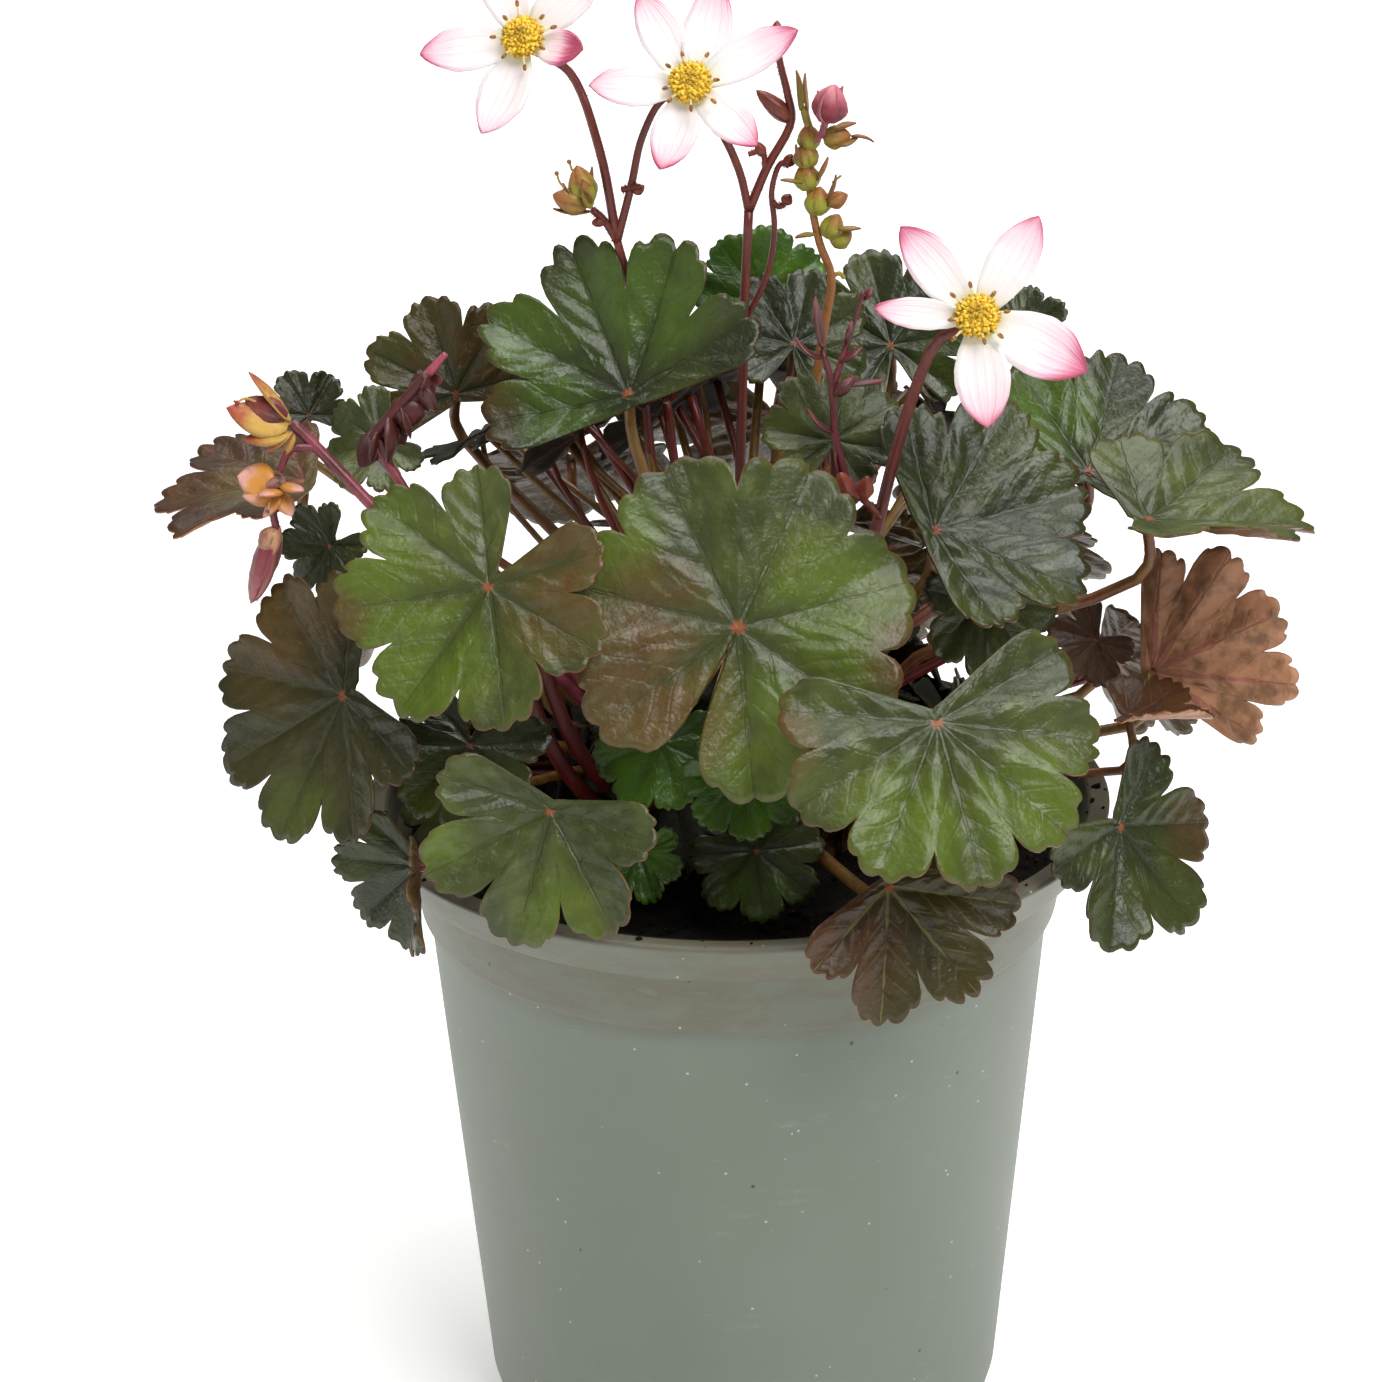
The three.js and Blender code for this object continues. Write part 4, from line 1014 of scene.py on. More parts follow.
def makeCentre(side, bloom, paint):
    # a dome covered by knobs on a spiral, and stamens that lean out past it
    bm = newMesh("centreRun")
    form = bloomForm
    radius, foot, height = form["domeRadius"], form["domeFoot"], form["domeHeight"]
    profile = [(0, form["domeUnder"]), (0.85 * radius, form["domeUnder"])]
    profile += dome(radius, foot, foot + height, form["domeRows"])
    # centreRun: 1 on an anther, how bright the knob is, 1 on a thread
    setLayer(bm, "centreRun", spunShape(bm, profile, form["domeSteps"]), (0, 0.45, 0))
    for k in range(form["knobs"]):
        lean = math.acos(1 - (k + 0.5) / form["knobs"])
        out = direction(goldenTurn * k + random.uniform(-0.35, 0.35), lean)
        at = Vector((radius * out.x, radius * out.y, foot + height * out.z))
        at += form["knobProud"] * random.random() * out
        place = aimed(at, out) @ Matrix.Diagonal((1, 1, form["knobStretch"], 1))
        size = form["knobRadius"] * random.uniform(0.7, 1.3)
        knob = ball(bm, place, size, 1)
        ring = math.exp(-((lean - 0.75) / 0.35) ** 2)  # the brightest knobs lie on a ring
        setLayer(bm, "centreRun", knob, (0, 0.3 + 0.35 * ring + 0.4 * random.random(), 0))
    for k in range(form["stamens"]):
        turn = 2 * math.pi * (k + 0.4 * random.random()) / form["stamens"]
        root = roundAt(form["stamenFoot"], turn, form["stamenLow"])
        tip = roundAt(random.uniform(form["stamenNear"], form["stamenFar"]), turn, form["stamenHigh"])
        tip.z += random.uniform(-form["stamenSpread"], form["stamenSpread"])
        arch = root.lerp(tip, 0.5) + Vector((0, 0, form["stamenArch"]))
        thread = bentLine([root, arch, tip], form["threadRadius"], form["threadRadius"], form["threadSteps"])
        setLayer(bm, "centreRun", rod(bm, *thread, form["threadSides"]), (0, 1, 1))
        place = Matrix.Translation(tip) @ Matrix.Rotation(turn, 4, "Z") @ Matrix.Diagonal(form["antherShape"])
        setLayer(bm, "centreRun", ball(bm, place, form["anther"], 2), (1, 0.5, 0))
    bmesh.ops.transform(bm, matrix=frameOf(bloom), verts=bm.verts[:])
    finishPiece(f"bloom{side.title()}Centre", bm, paint, "pollen", f"bloom_{side}_centre")


def makeBlooms():
    random.seed(23)
    petals, pollen = petalPaint(), pollenPaint()
    for side, bloom in blooms.items():
        makePetals(side, bloom, petals)
        makeCentre(side, bloom, pollen)
    print("blooms made")


# Buds, spent flowers and the flower stems. A bud is (base, length, radius, faces, tilt, tone) and stands on
# its base along its frame's Z; a sepal is (base, length, half width, faces, tilt, turn, curl, tone). The tone
# picks the colour: 0 the body's, 1 the accent's. budRun: how far along, how far from a fold or an edge, tone.
budForm = {
    "profile": [
        (0, 0), (0.5, 0.03), (0.8, 0.16), (0.97, 0.3), (1, 0.42), (0.86, 0.62), (0.62, 0.8), (0.3, 0.93),
        (0, 1),
    ],
    "steps": 20, "folds": 5, "foldDepth": 0.1, "twist": 0.8,
}
sepalForm = {"alongSteps": 9, "acrossSteps": 4, "thick": 0.0003, "dish": 0.35}


def bud(bm, at, length, radius, faces, tilt, tone=0.0):
    # a spun drop with shallow folds that wind up it
    verts = spunShape(bm, [(r * radius, h * length) for r, h in budForm["profile"]], budForm["steps"])
    layer = bm.verts.layers.float_vector["budRun"]
    for vert in verts:
        high = vert.co.z / length
        fold = math.cos(budForm["folds"] * (math.atan2(vert.co.y, vert.co.x) + budForm["twist"] * high))
        vert[layer] = (high, 0.5 + 0.5 * fold, tone)
        vert.co.xy *= 1 + budForm["foldDepth"] * fold * math.sin(math.pi * min(1, high))
    bmesh.ops.transform(bm, matrix=frameAt(at, faces, tilt), verts=verts)


def sepal(bm, at, length, halfWidth, faces, tilt, turn=0, curl=0.3, tone=0.0):
    # a small curved leaf; its face looks along its frame's X and its tip curls that way
    form = sepalForm
    grid = newGrid(bm, form["alongSteps"], form["acrossSteps"])
    layer = bm.verts.layers.float_vector["budRun"]
    for vert in grid:
        along, side = (vert.co.x + 1) / 2, vert.co.y
        width = halfWidth * (0.25 * (1 - along) + math.sin(math.pi * min(along, 0.999) ** 0.8) ** 0.75 + 0.02)
        dish = form["dish"] * halfWidth * side ** 2 * math.sin(math.pi * along)
        reach = length * (along - 0.25 * abs(curl) * along ** 3)
        vert.co = (length * curl * along ** 2 + dish, side * width, reach)
        vert[layer] = (along, 1 - abs(side), tone)
    whole = thickened(bm, grid, form["thick"])
    bmesh.ops.transform(bm, matrix=frameAt(at, faces, tilt, turn), verts=whole)


def budPaint(name, body, tip, rib, accent):
    paint = newPaint(name, {"Specular IOR Level": 0.42, "Sheen Weight": 0.1, "Coat Weight": 0.08})
    high, ribs, tone = threeOf("budRun")
    soft = cloud(surfacePlace(), 420, 4)
    far = plus(high, times(minus(soft), 0.8))
    colour = layered(
        body,
        (faded(far, 0.35, 0.95), tip),
        (tone, layered(accent, (faded(soft, 0.35, 0.65, 0.0, 0.5), tip))),
        (faded(ribs, 0.0, 0.35, 0.6, 0.0), rib),
        (faded(soft, 0.52, 0.7, 0.0, 0.4), rib),
    )
    feed(shader.inputs["Roughness"], faded(soft, 0.3, 0.7, 0.42, 0.62))
    dress(colour, soft, 0.0003, 0.8)
    return paint


def newBudMesh():
    return newMesh("budRun", "stalkRun")


def behind(side, depth):
    return frameOf(blooms[side]) @ Vector((0, 0, -depth))


# The three flower stems: each line is its points and its radius at the start and the end, and the buds are
# the small dark ones that it carries
leftFork, middleFork, knot = (-0.0185, -0.001, 0.215), (0.003, 0.002, 0.219), (0.01, 0.002, 0.2335)
stemForm = {
    "low": "60190f", "high": "8e3e22", "shine": 0.1, "slim": 0.88, "tone": 0.3, "steps": 24, "sides": 10,
    "hairs": 90, "cupTone": 0.8, "budTone": 0.5,
}
stems = {
    "left": {"lines": [
        ([(-0.009, 0.006, 0.116), (-0.012, 0.006, 0.15), (-0.0145, 0.004, 0.184), (-0.0154, 0.0034, 0.196),
          (-0.0166, 0.002, 0.206), leftFork], 0.0011, 0.0008),
        ([leftFork, (-0.021, -0.001, 0.23), (-0.0255, 0.001, 0.242), behind("left", 0.004),
          behind("left", 0.002)], 0.0009, 0.0007),
        ([leftFork, (-0.016, -0.0015, 0.224), (-0.014, -0.0015, 0.232), (-0.0105, -0.002, 0.238),
          behind("middle", 0.004)], 0.0008, 0.0006),
        ([leftFork, (-0.0205, -0.0015, 0.2185), (-0.0223, -0.0026, 0.2205)], 0.00075, 0.0007),
        ([(-0.0175, -0.0015, 0.2235), (-0.0145, -0.0025, 0.2242)], 0.0006, 0.0005),
    ], "buds": [
        ((-0.0214, -0.002, 0.2176), 0.0016, 0.0011, 0, 0),
        ((-0.0155, -0.0022, 0.223), 0.0022, 0.0008, 30, 60),
    ]},
    "middle": {"lines": [
        ([(-0.003, 0.004, 0.116), (0, 0.005, 0.15), (0.0016, 0.005, 0.186), (0.002, 0.004, 0.2), middleFork],
         0.0011, 0.0009),
        ([middleFork, (0.0015, 0, 0.226), (-0.0015, -0.0025, 0.233), behind("middle", 0.004),
          behind("middle", 0.002)], 0.0008, 0.0007),
        ([middleFork, (0.006, 0.002, 0.226), knot, (0.0094, 0.002, 0.238), (0.0082, 0.002, 0.243),
          (0.0078, 0.002, 0.2465)], 0.0009, 0.0006),
        ([(0.0022, 0.004, 0.2), (0.006, 0.004, 0.208), (0.0072, 0.003, 0.216), (0.0068, 0.002, 0.2225),
          (0.0084, 0.002, 0.2268), (0.0096, 0.002, 0.2262)], 0.0006, 0.0005),
        ([(0.0069, 0.002, 0.2205), (0.008, 0.002, 0.2196), (0.0092, 0.002, 0.2204)], 0.0005, 0.0005),
        ([(0.0058, 0.002, 0.2255), (0.0052, 0.0014, 0.2288), (0.003, 0.0012, 0.2284)], 0.0006, 0.0005),
    ], "buds": [
        (knot, 0.0076, 0.0015, 180, 48), ((0.0078, 0.002, 0.2462), 0.0034, 0.001, 0, 0),
        ((0.0056, 0.0016, 0.228), 0.0028, 0.0009, 180, 30), ((0.0093, 0.002, 0.2262), 0.0022, 0.001, 0, 20),
        ((0.0088, 0.002, 0.22), 0.002, 0.001, 0, 30),
    ]},
    "right": {"lines": [
        ([(0.005, -0.009, 0.116), (0.01, -0.014, 0.138), (0.018, -0.018, 0.158), (0.023, -0.021, 0.172),
          (0.025, -0.024, 0.182), (0.028, -0.03, 0.196), (0.032, -0.0356, 0.207), behind("right", 0.004),
          behind("right", 0.002)], 0.0013, 0.0009),
        ([(0.0235, -0.022, 0.174), (0.02, -0.027, 0.179), (0.017, -0.03, 0.181)], 0.0007, 0.0006),
    ], "buds": [
        ((0.018, -0.029, 0.18), 0.005, 0.0015, -120, 30),
        ((0.0205, -0.0265, 0.1785), 0.0045, 0.0014, -60, 20),
        ((0.017, -0.03, 0.1806), 0.004, 0.0013, 190, 70),
    ]},
}


def makeStems():
    random.seed(17)
    form = stemForm
    paint = stalkPaint("flowerStem", form["low"], form["high"], form["shine"])
    for side, stem in stems.items():
        bm = newBudMesh()
        for points, low, high in stem["lines"]:
            radii = form["slim"] * low, form["slim"] * high
            addStalk(bm, points, *radii, form["tone"], form["steps"], form["sides"], form["hairs"])
        cup = spunShape(bm, bloomForm["cup"], bloomForm["cupSteps"], frameOf(blooms[side]))
        setLayer(bm, "stalkRun", cup, (form["cupTone"], 0, 0))
        before = set(bm.verts)
        for given in stem["buds"]:
            bud(bm, *given)
        setLayer(bm, "stalkRun", vertsSince(bm, before), (form["budTone"], 0, 0))
        finishPiece(pieceName("stem_" + side), bm, paint, "flower_stem", "stem_" + side)
    print("flower stems made")


# The heads: for each node its paint, slot, buds, sepals and threads. A thread is its points and its radius,
# and the tone of the small ball at its end if it has one.
heads = {
    "buds_left": {
        "paint": "greenBud", "slot": "green_bud",
        "buds": [
            ((-0.0232, -0.003, 0.2212), 0.0068, 0.0024, 180, 12, 0),
            ((-0.0232, -0.0034, 0.221), 0.006, 0.0021, 190, 66, 0.6),
        ],
        "sepals": [
            ((-0.0226, -0.004, 0.2204), 0.0062, 0.0011, 182, 108, 180, 0.4, 1),
            ((-0.0225, -0.0045, 0.2212), 0.0055, 0.0012, 200, 24, 120, 0.2, 0.2),
            ((-0.0238, -0.0045, 0.2215), 0.005, 0.0011, 170, 50, 40, -0.2, 0.8),
            ((-0.0228, -0.002, 0.2216), 0.006, 0.0011, 150, 8, 200, 0.2, 0.5),
            ((-0.0226, -0.0042, 0.2218), 0.0042, 0.001, 240, 20, 0, 0.3, 0.7),
        ],
        "threads": [
            ([(-0.0262, -0.004, 0.2238), (-0.0274, -0.0042, 0.2254), (-0.0278, -0.0042, 0.2268)], 0.0002, 1),
            ([(-0.0254, -0.003, 0.227), (-0.0258, -0.003, 0.2284)], 0.0002, 1),
        ],
    },
    "bud_pink": {
        "paint": "redBud", "slot": "red_bud",
        "buds": [((0.0154, -0.0034, 0.2342), 0.0062, 0.0029, 0, 14, 0)],
        "sepals": [
            ((0.0154, -0.0044, 0.2342), 0.0052, 0.0017, -70, 12, 0, -0.2, 0.35),
            ((0.0165, -0.0034, 0.2345), 0.0058, 0.0015, 10, 30, 180, 0.2, 0.9),
            ((0.0148, -0.0034, 0.2345), 0.005, 0.0014, 170, 22, 180, 0.2, 0.2),
        ],
        "threads": [
            ([(0.0138, -0.001, 0.2308), (0.0148, -0.0024, 0.2324), (0.0154, -0.0034, 0.2346)], 0.0006),
        ],
    },
    "seed_heads": {
        "paint": "greenBud", "slot": "green_bud",
        "buds": [
            ((0.0131, 0, 0.2292), 0.0042, 0.0019, 200, 8, 0),
            ((0.0125, 0, 0.2262), 0.0042, 0.0021, 190, 4, 0.1),
            ((0.0127, 0, 0.2226), 0.0046, 0.0022, 170, 8, 0),
            ((0.0137, -0.0004, 0.2186), 0.0048, 0.0022, 20, 12, 0),
            ((0.0155, -0.0004, 0.2148), 0.0045, 0.002, 10, 30, 0),
            ((0.0165, -0.0004, 0.2138), 0.004, 0.0017, 20, 60, 0.1),
            ((0.0158, -0.001, 0.2206), 0.0036, 0.0014, 0, 66, 0.8),
            ((0.015, -0.001, 0.2312), 0.0046, 0.0019, 0, 84, 0.5),
        ],
        "sepals": [
            ((0.0116, -0.0006, 0.2356), 0.0068, 0.0011, 20, 14, 180, 0.35, 0.2),
            ((0.0125, -0.0006, 0.2356), 0.0062, 0.0011, 170, 22, 180, 0.3, 0.8),
            ((0.0165, -0.001, 0.2306), 0.0045, 0.0016, 4, 84, 0, -0.1, 0.6),
            ((0.0165, -0.001, 0.2322), 0.0042, 0.0015, 2, 78, 180, 0.1, 0.8),
            ((0.0195, -0.001, 0.2316), 0.0038, 0.0007, 2, 70, 0, 0.6, 1),
            ((0.0116, -0.001, 0.2266), 0.004, 0.0012, 190, 40, 180, 0.4, 0.9),
            ((0.0143, -0.001, 0.2244), 0.0044, 0.0011, -20, 42, 180, 0.3, 0.9),
            ((0.0118, -0.001, 0.2242), 0.0045, 0.0011, 210, 60, 0, 0.3, 0.3),
            ((0.0157, -0.001, 0.2212), 0.0044, 0.0012, 0, 50, 180, 0.5, 1),
            ((0.0172, -0.001, 0.2166), 0.0042, 0.0011, -10, 70, 0, 0.3, 0.5),
            ((0.0138, -0.001, 0.2158), 0.0036, 0.001, 200, 66, 0, 0.5, 0.1),
        ],
        "threads": [
            ([(0.0146, -0.001, 0.233), (0.0166, -0.001, 0.2352), (0.0172, -0.001, 0.2372)], 0.0002),
            ([(0.0131, 0, 0.232), (0.0124, -0.0003, 0.2342), (0.012, -0.0006, 0.2362)], 0.0007),
            ([(0.0165, -0.001, 0.224), (0.018, -0.001, 0.2252)], 0.0002),
            ([(0.0165, 0.0015, 0.208), (0.0178, 0.0012, 0.2086), (0.0186, 0.0012, 0.2078)], 0.0004),
        ],
    },
    "side_flower_top": {
        "paint": "spentFlower", "slot": "spent",
        "buds": [((-0.0716, -0.0185, 0.1906), 0.0075, 0.0021, 180, 62, 1)],
        "sepals": [
            ((-0.0712, -0.0185, 0.1902), 0.0105, 0.0023, 180, 46, 180, 0.16, 0),
            ((-0.0714, -0.0197, 0.1896), 0.0104, 0.0025, 190, 66, -60, 0.12, 0),
            ((-0.0712, -0.0178, 0.1896), 0.01, 0.0023, 176, 72, 0, -0.1, 0.3),
            ((-0.0712, -0.0199, 0.1886), 0.0078, 0.002, 186, 84, -20, 0.2, 0.1),
            ((-0.0708, -0.0192, 0.1888), 0.0055, 0.0017, 190, 106, 0, 0.35, 0.1),
            ((-0.0705, -0.0192, 0.1884), 0.0045, 0.0016, 200, 130, 0, 0.3, 0.2),
        ],
        "threads": [
            ([(-0.0755, -0.0195, 0.1935), (-0.0778, -0.0198, 0.1945),
              (-0.0792, -0.0198, 0.1938)], 0.00022, 0.9),
        ],
    },
    "side_flower_middle": {
        "paint": "paleSpent", "slot": "spent",
        "buds": [((-0.072, -0.0205, 0.1806), 0.0042, 0.0016, 190, 96, 1)],
        "sepals": [
            ((-0.0732, -0.0212, 0.1798), 0.0062, 0.0024, 195, 84, -30, 0.3, 0),
            ((-0.0732, -0.0212, 0.1798), 0.005, 0.0017, 240, 70, 0, 0.3, 0),
            ((-0.0732, -0.0212, 0.1792), 0.005, 0.0017, 210, 125, 0, 0.25, 0),
            ((-0.0728, -0.0208, 0.1806), 0.0046, 0.0016, 330, 80, 0, 0.3, 0.1),
            ((-0.073, -0.0208, 0.179), 0.0044, 0.0016, 320, 130, 0, 0.3, 0),
            ((-0.0738, -0.0217, 0.1806), 0.0064, 0.0026, 188, 72, -70, 0.25, 0),
        ],
        "threads": [
            ([(-0.0736, -0.0222, 0.179), (-0.0744, -0.0238, 0.1784), (-0.0748, -0.0246, 0.177)], 0.0002, 1),
        ],
    },
    "side_bud_low": {
        "paint": "pinkBud", "slot": "red_bud",
        "buds": [
            ((-0.0742, -0.0205, 0.1726), 0.0135, 0.0021, 186, 158, 0),
            ((-0.0742, -0.0208, 0.173), 0.005, 0.0019, 190, 150, 1),
        ],
        "sepals": [
            ((-0.0736, -0.0212, 0.1732), 0.0058, 0.0014, 200, 152, 0, 0.1, 1),
            ((-0.0748, -0.0208, 0.1732), 0.0054, 0.0013, 180, 168, 180, 0.1, 1),
            ((-0.0746, -0.0216, 0.17), 0.0095, 0.0015, 200, 160, 0, -0.05, 0.2),
        ],
    },
}
headForm = {
    "threadSteps": 6, "threadSides": 5, "threadLook": (0, 1, 0.3), "ball": 0.0004,
    "seedStem": [
        (0.009, 0.002, 0.116), (0.011, 0.003, 0.15), (0.0135, 0.003, 0.186), (0.0155, 0.003, 0.2),
        (0.0165, 0.0015, 0.208), (0.0145, 0, 0.214), (0.013, 0, 0.222), (0.0128, 0, 0.231),
    ],
    "seedLow": 0.0009, "seedHigh": 0.00062, "seedSteps": 28, "seedSides": 8, "seedLook": (1, 0.2, 0),
}
headTones = {  # body, tip, rib and accent
    "greenBud": ("8a8824", "9c5e2c", "4c3a10", "8c4c28"),
    "redBud": ("7a2430", "c06a78", "40101a", "c88890"),
    "spentFlower": ("caa24c", "a4402c", "8c5a24", "4a1222"),
    "paleSpent": ("cc8a34", "dda49c", "94581f", "3e1a10"),
    "pinkBud": ("7c3038", "9c6060", "4a1620", "b88a60"),
}


def makeHeads():
    form = headForm
    paints = {name: budPaint(name, *tones) for name, tones in headTones.items()}
    for node, head in heads.items():
        bm = newBudMesh()
        for given in head["buds"]:
            bud(bm, *given)
        for given in head["sepals"]:
            sepal(bm, *given)
        for points, radius, *ending in head.get("threads", []):
            thread = rod(bm, *bentLine(points, radius, radius, form["threadSteps"]), form["threadSides"])
            setLayer(bm, "budRun", thread, form["threadLook"])
            for tone in ending:
                made = ball(bm, Matrix.Translation(points[-1]), form["ball"], 2)
                setLayer(bm, "budRun", made, (1, 1, tone))
        if node == "seed_heads":
            line = bentLine(form["seedStem"], form["seedLow"], form["seedHigh"], form["seedSteps"])
            setLayer(bm, "budRun", rod(bm, *line, form["seedSides"]), form["seedLook"])
        finishPiece(pieceName(node), bm, paints[head["paint"]], head["slot"], node)
    print("buds and spent flowers made")


# Young red growth: the side stem on the left, the folded leaf beside it and the leafy shoot on the right
youngGrowth = {
    "low": "501016", "high": "a8485a", "shine": 0.12,
    "sideStem": [
        ([(-0.011, -0.005, 0.116), (-0.028, -0.016, 0.143), (-0.046, -0.022, 0.162),
          (-0.056, -0.0215, 0.174), (-0.067, -0.019, 0.186), (-0.0708, -0.0186, 0.19)], 0.0011, 0.0009),
        ([(-0.067, -0.019, 0.186), (-0.071, -0.02, 0.186), (-0.073, -0.021, 0.1826)], 0.0008, 0.0006),
        ([(-0.073, -0.0208, 0.1795), (-0.0745, -0.0205, 0.176), (-0.0742, -0.0205, 0.1726)], 0.0006, 0.0007),
    ],
    "youngShoot": [
        ([(0.009, -0.007, 0.116), (0.014, -0.013, 0.15), (0.0185, -0.017, 0.176), (0.0165, -0.016, 0.186),
          (0.016, -0.0145, 0.194), (0.0145, -0.013, 0.1994)], 0.001, 0.0006),
        ([(0.016, -0.0145, 0.193), (0.0185, -0.012, 0.2), (0.0212, -0.011, 0.2085)], 0.0007, 0.0004),
    ],
    "shootBuds": [
        ((0.0178, -0.0165, 0.174), 0.005, 0.0013, 180, 40),
        ((0.0182, -0.017, 0.1745), 0.0052, 0.0013, 0, 36),
        ((0.0165, -0.0155, 0.1925), 0.0045, 0.0011, 20, 50),
    ],
    "shootLeaves": [
        ((0.0146, -0.0135, 0.1985), 0.0058, 0.0017, 190, 66, 0, -0.25),
        ((0.0172, -0.013, 0.1975), 0.0046, 0.0014, 10, 42, 0, 0.3),
        ((0.0186, -0.012, 0.2), 0.0042, 0.0012, -20, 30, 180, 0.3),
        ((0.0168, -0.014, 0.194), 0.0082, 0.0014, 8, 76, 0, 0.2),
        ((0.0146, -0.013, 0.1995), 0.009, 0.0016, 160, 24, 180, 0.25),
        ((0.0166, -0.0155, 0.1865), 0.006, 0.0013, 180, 60, 0, -0.2),
        ((0.0175, -0.0165, 0.176), 0.006, 0.0014, 200, 78, 0, -0.3),
        ((0.0185, -0.0165, 0.1765), 0.0065, 0.0014, -30, 70, 0, -0.3),
        ((0.0176, -0.0165, 0.1785), 0.0056, 0.0012, 170, 36, 180, 0.4),
        ((0.0212, -0.011, 0.207), 0.0028, 0.0008, 40, 20, 0, 0.4),
    ],
    "foldFoot": [
        (-0.014, -0.002, 0.1156), (-0.028, -0.01, 0.143), (-0.044, -0.018, 0.161), (-0.0514, -0.018, 0.1748),
    ],
    "foldFrom": (-0.0584, -0.016, 0.1867), "foldTo": (-0.0458, -0.016, 0.2004), "teeth": 11,
    "toothedPart": 0.82, "shootSlim": 0.85, "steps": 24, "sides": 8,
}


def makeFoldedLeaf(bm):
    # a stalk, a thick midrib, and two rows of uneven curled teeth along it
    start, end = Vector(youngGrowth["foldFrom"]), Vector(youngGrowth["foldTo"])
    inner, outer = start.lerp(end, 0.4), start.lerp(end, 0.75)
    addStalk(bm, [*youngGrowth["foldFoot"], start], 0.0009, 0.0008, 0.5, 20, 8, 60)
    addStalk(bm, [start, inner, outer], 0.001, 0.0008, 0.15, 12)
    addStalk(bm, [outer, start.lerp(end, 0.9), end], 0.0008, 0.0005, 1.2, 8)
    for k in range(youngGrowth["teeth"]):
        along = youngGrowth["toothedPart"] * (k + random.uniform(0, 0.9)) / youngGrowth["teeth"]
        before = set(bm.verts)
        at = start.lerp(end, along)
        length = (0.0076 - 0.0056 * (along - 0.2) ** 2 - 0.003 * along) * random.uniform(0.6, 1.1)
        width = random.uniform(0.0016, 0.0028)
        lean = random.uniform(125, 165)
        turn, curl = random.uniform(-50, 70), random.uniform(0.2, 0.9)
        sepal(bm, at, length, width, random.uniform(-120, 10), lean, turn, curl)
        sepal(bm, at + Vector((0, 0.0012, 0)), 0.8 * length, width, random.uniform(40, 110), lean, turn, curl)
        reddenTips(bm, before, 0.9 * along ** 2, -0.1, 0.22)


def reddenTips(bm, before, share, least, old):
    # the stalks' paint on buds and sepals: its tone grows towards their tips
    layers = bm.verts.layers.float_vector
    for vert in vertsSince(bm, before):
        vert[layers["stalkRun"]] = (share * vert[layers["budRun"]].x + least, 0, old)


def makeYoungGrowth():
    random.seed(41)
    form = youngGrowth
    paint = stalkPaint("youngRed", form["low"], form["high"], form["shine"])
    bm = newBudMesh()
    for points, low, high in form["sideStem"]:
        addStalk(bm, points, low, high, 0.5, form["steps"], form["sides"], 60)
    finishPiece("sideStem", bm, paint, "young_red", "side_stem")
    bm = newBudMesh()
    makeFoldedLeaf(bm)
    finishPiece("youngRedLeaf", bm, paint, "young_red", "young_red_leaf")
    bm = newBudMesh()
    for points, low, high in form["youngShoot"]:
        slim = form["shootSlim"]
        addStalk(bm, points, slim * low, slim * high, 0.3, form["steps"], form["sides"], 50)
    before = set(bm.verts)
    for given in form["shootBuds"]:
        bud(bm, *given)
    for given in form["shootLeaves"]:
        sepal(bm, *given)
    reddenTips(bm, before, 0.6, 0, 0.12)
    finishPiece("youngShoot", bm, paint, "young_red", "young_shoot")
    print("young growth made")


# The pot: (radius, height) points of the outside from the base up, then of the inside back down
pot = {
    "outside": [
        (0, 0), (0.044, 0), (0.0464, 0.003), (0.0472, 0.006), (0.0546, 0.0981), (0.056, 0.0987),
        (0.058, 0.11), (0.0615, 0.1106), (0.0644, 0.1166), (0.065, 0.1173), (0.0643, 0.118), (0.0614, 0.118),
    ],
    "inside": [
        (0.061, 0.1175), (0.06, 0.1118), (0.0565, 0.1088), (0.0545, 0.0999), (0.0531, 0.0969),
        (0.0457, 0.006), (0.044, 0.0022), (0, 0.0022),
    ],
    "steps": 160, "cornerAngle": 0.5, "cornerRound": 0.0006, "cornerSteps": 3, "innermostCorner": 0.03,
    "sharpFrom": 40, "holes": 8, "holeRadius": 0.0035, "holeCircle": 0.03, "holeDepth": 0.009,
    "holeMiddle": 0.001, "holeSteps": 32, "bandFrom": 0.094, "bandTo": 0.1, "lipFrom": 0.117, "lipTo": 0.1182,
}
potTones = {
    "dark": "687266", "light": "717b70", "dusty": "5e5846", "lip": "5c523e", "scuff": "98a195",
    "scratch": "aeb5aa", "dust": "c9ccc2", "speck": "3a3024",
}


def potPaint():
    paint = newPaint("sagePlastic", {"Specular IOR Level": 0.4})
    place = surfacePlace()
    broad = cloud(place, 16, 3)
    fine = cloud(place, 1400, 3, 0.6)
    scuffs = cloud(surfacePlace((1, 1, 3)), 70, 5, 0.72)
    scratches = cloud(surfacePlace((0.8, 0.8, 5)), 160, 3)
    dust = cells(place, 230)
    specks = cells(surfacePlace((1.1, 1.1, 1)), 120)
    high = partsOf(place)[2]
    band = faded(high, pot["bandFrom"], pot["bandTo"], 0.1, 0.8)
    colour = layered(
        potTones["dark"],
        (faded(broad, 0.3, 0.7), potTones["light"]),
        (times(band, faded(scuffs, 0.35, 0.65, 0.55, 1.0)), potTones["dusty"]),
        (faded(high, pot["lipFrom"], pot["lipTo"], 0.0, 0.5), potTones["lip"]),
        (faded(scuffs, 0.6, 0.8, 0.0, 0.3), potTones["scuff"]),
        (faded(scratches, 0.72, 0.78, 0.0, 0.22), potTones["scratch"]),
        (faded(dust, 0.03, 0.07, 0.6, 0.0), potTones["dust"]),
        (faded(specks, 0.03, 0.055, 0.9, 0.0), potTones["speck"]),
    )
    feed(shader.inputs["Roughness"], faded(broad, 0.3, 0.7, 0.4, 0.5))
    dress(colour, fine, 0.00008, 0.5)
    return paint


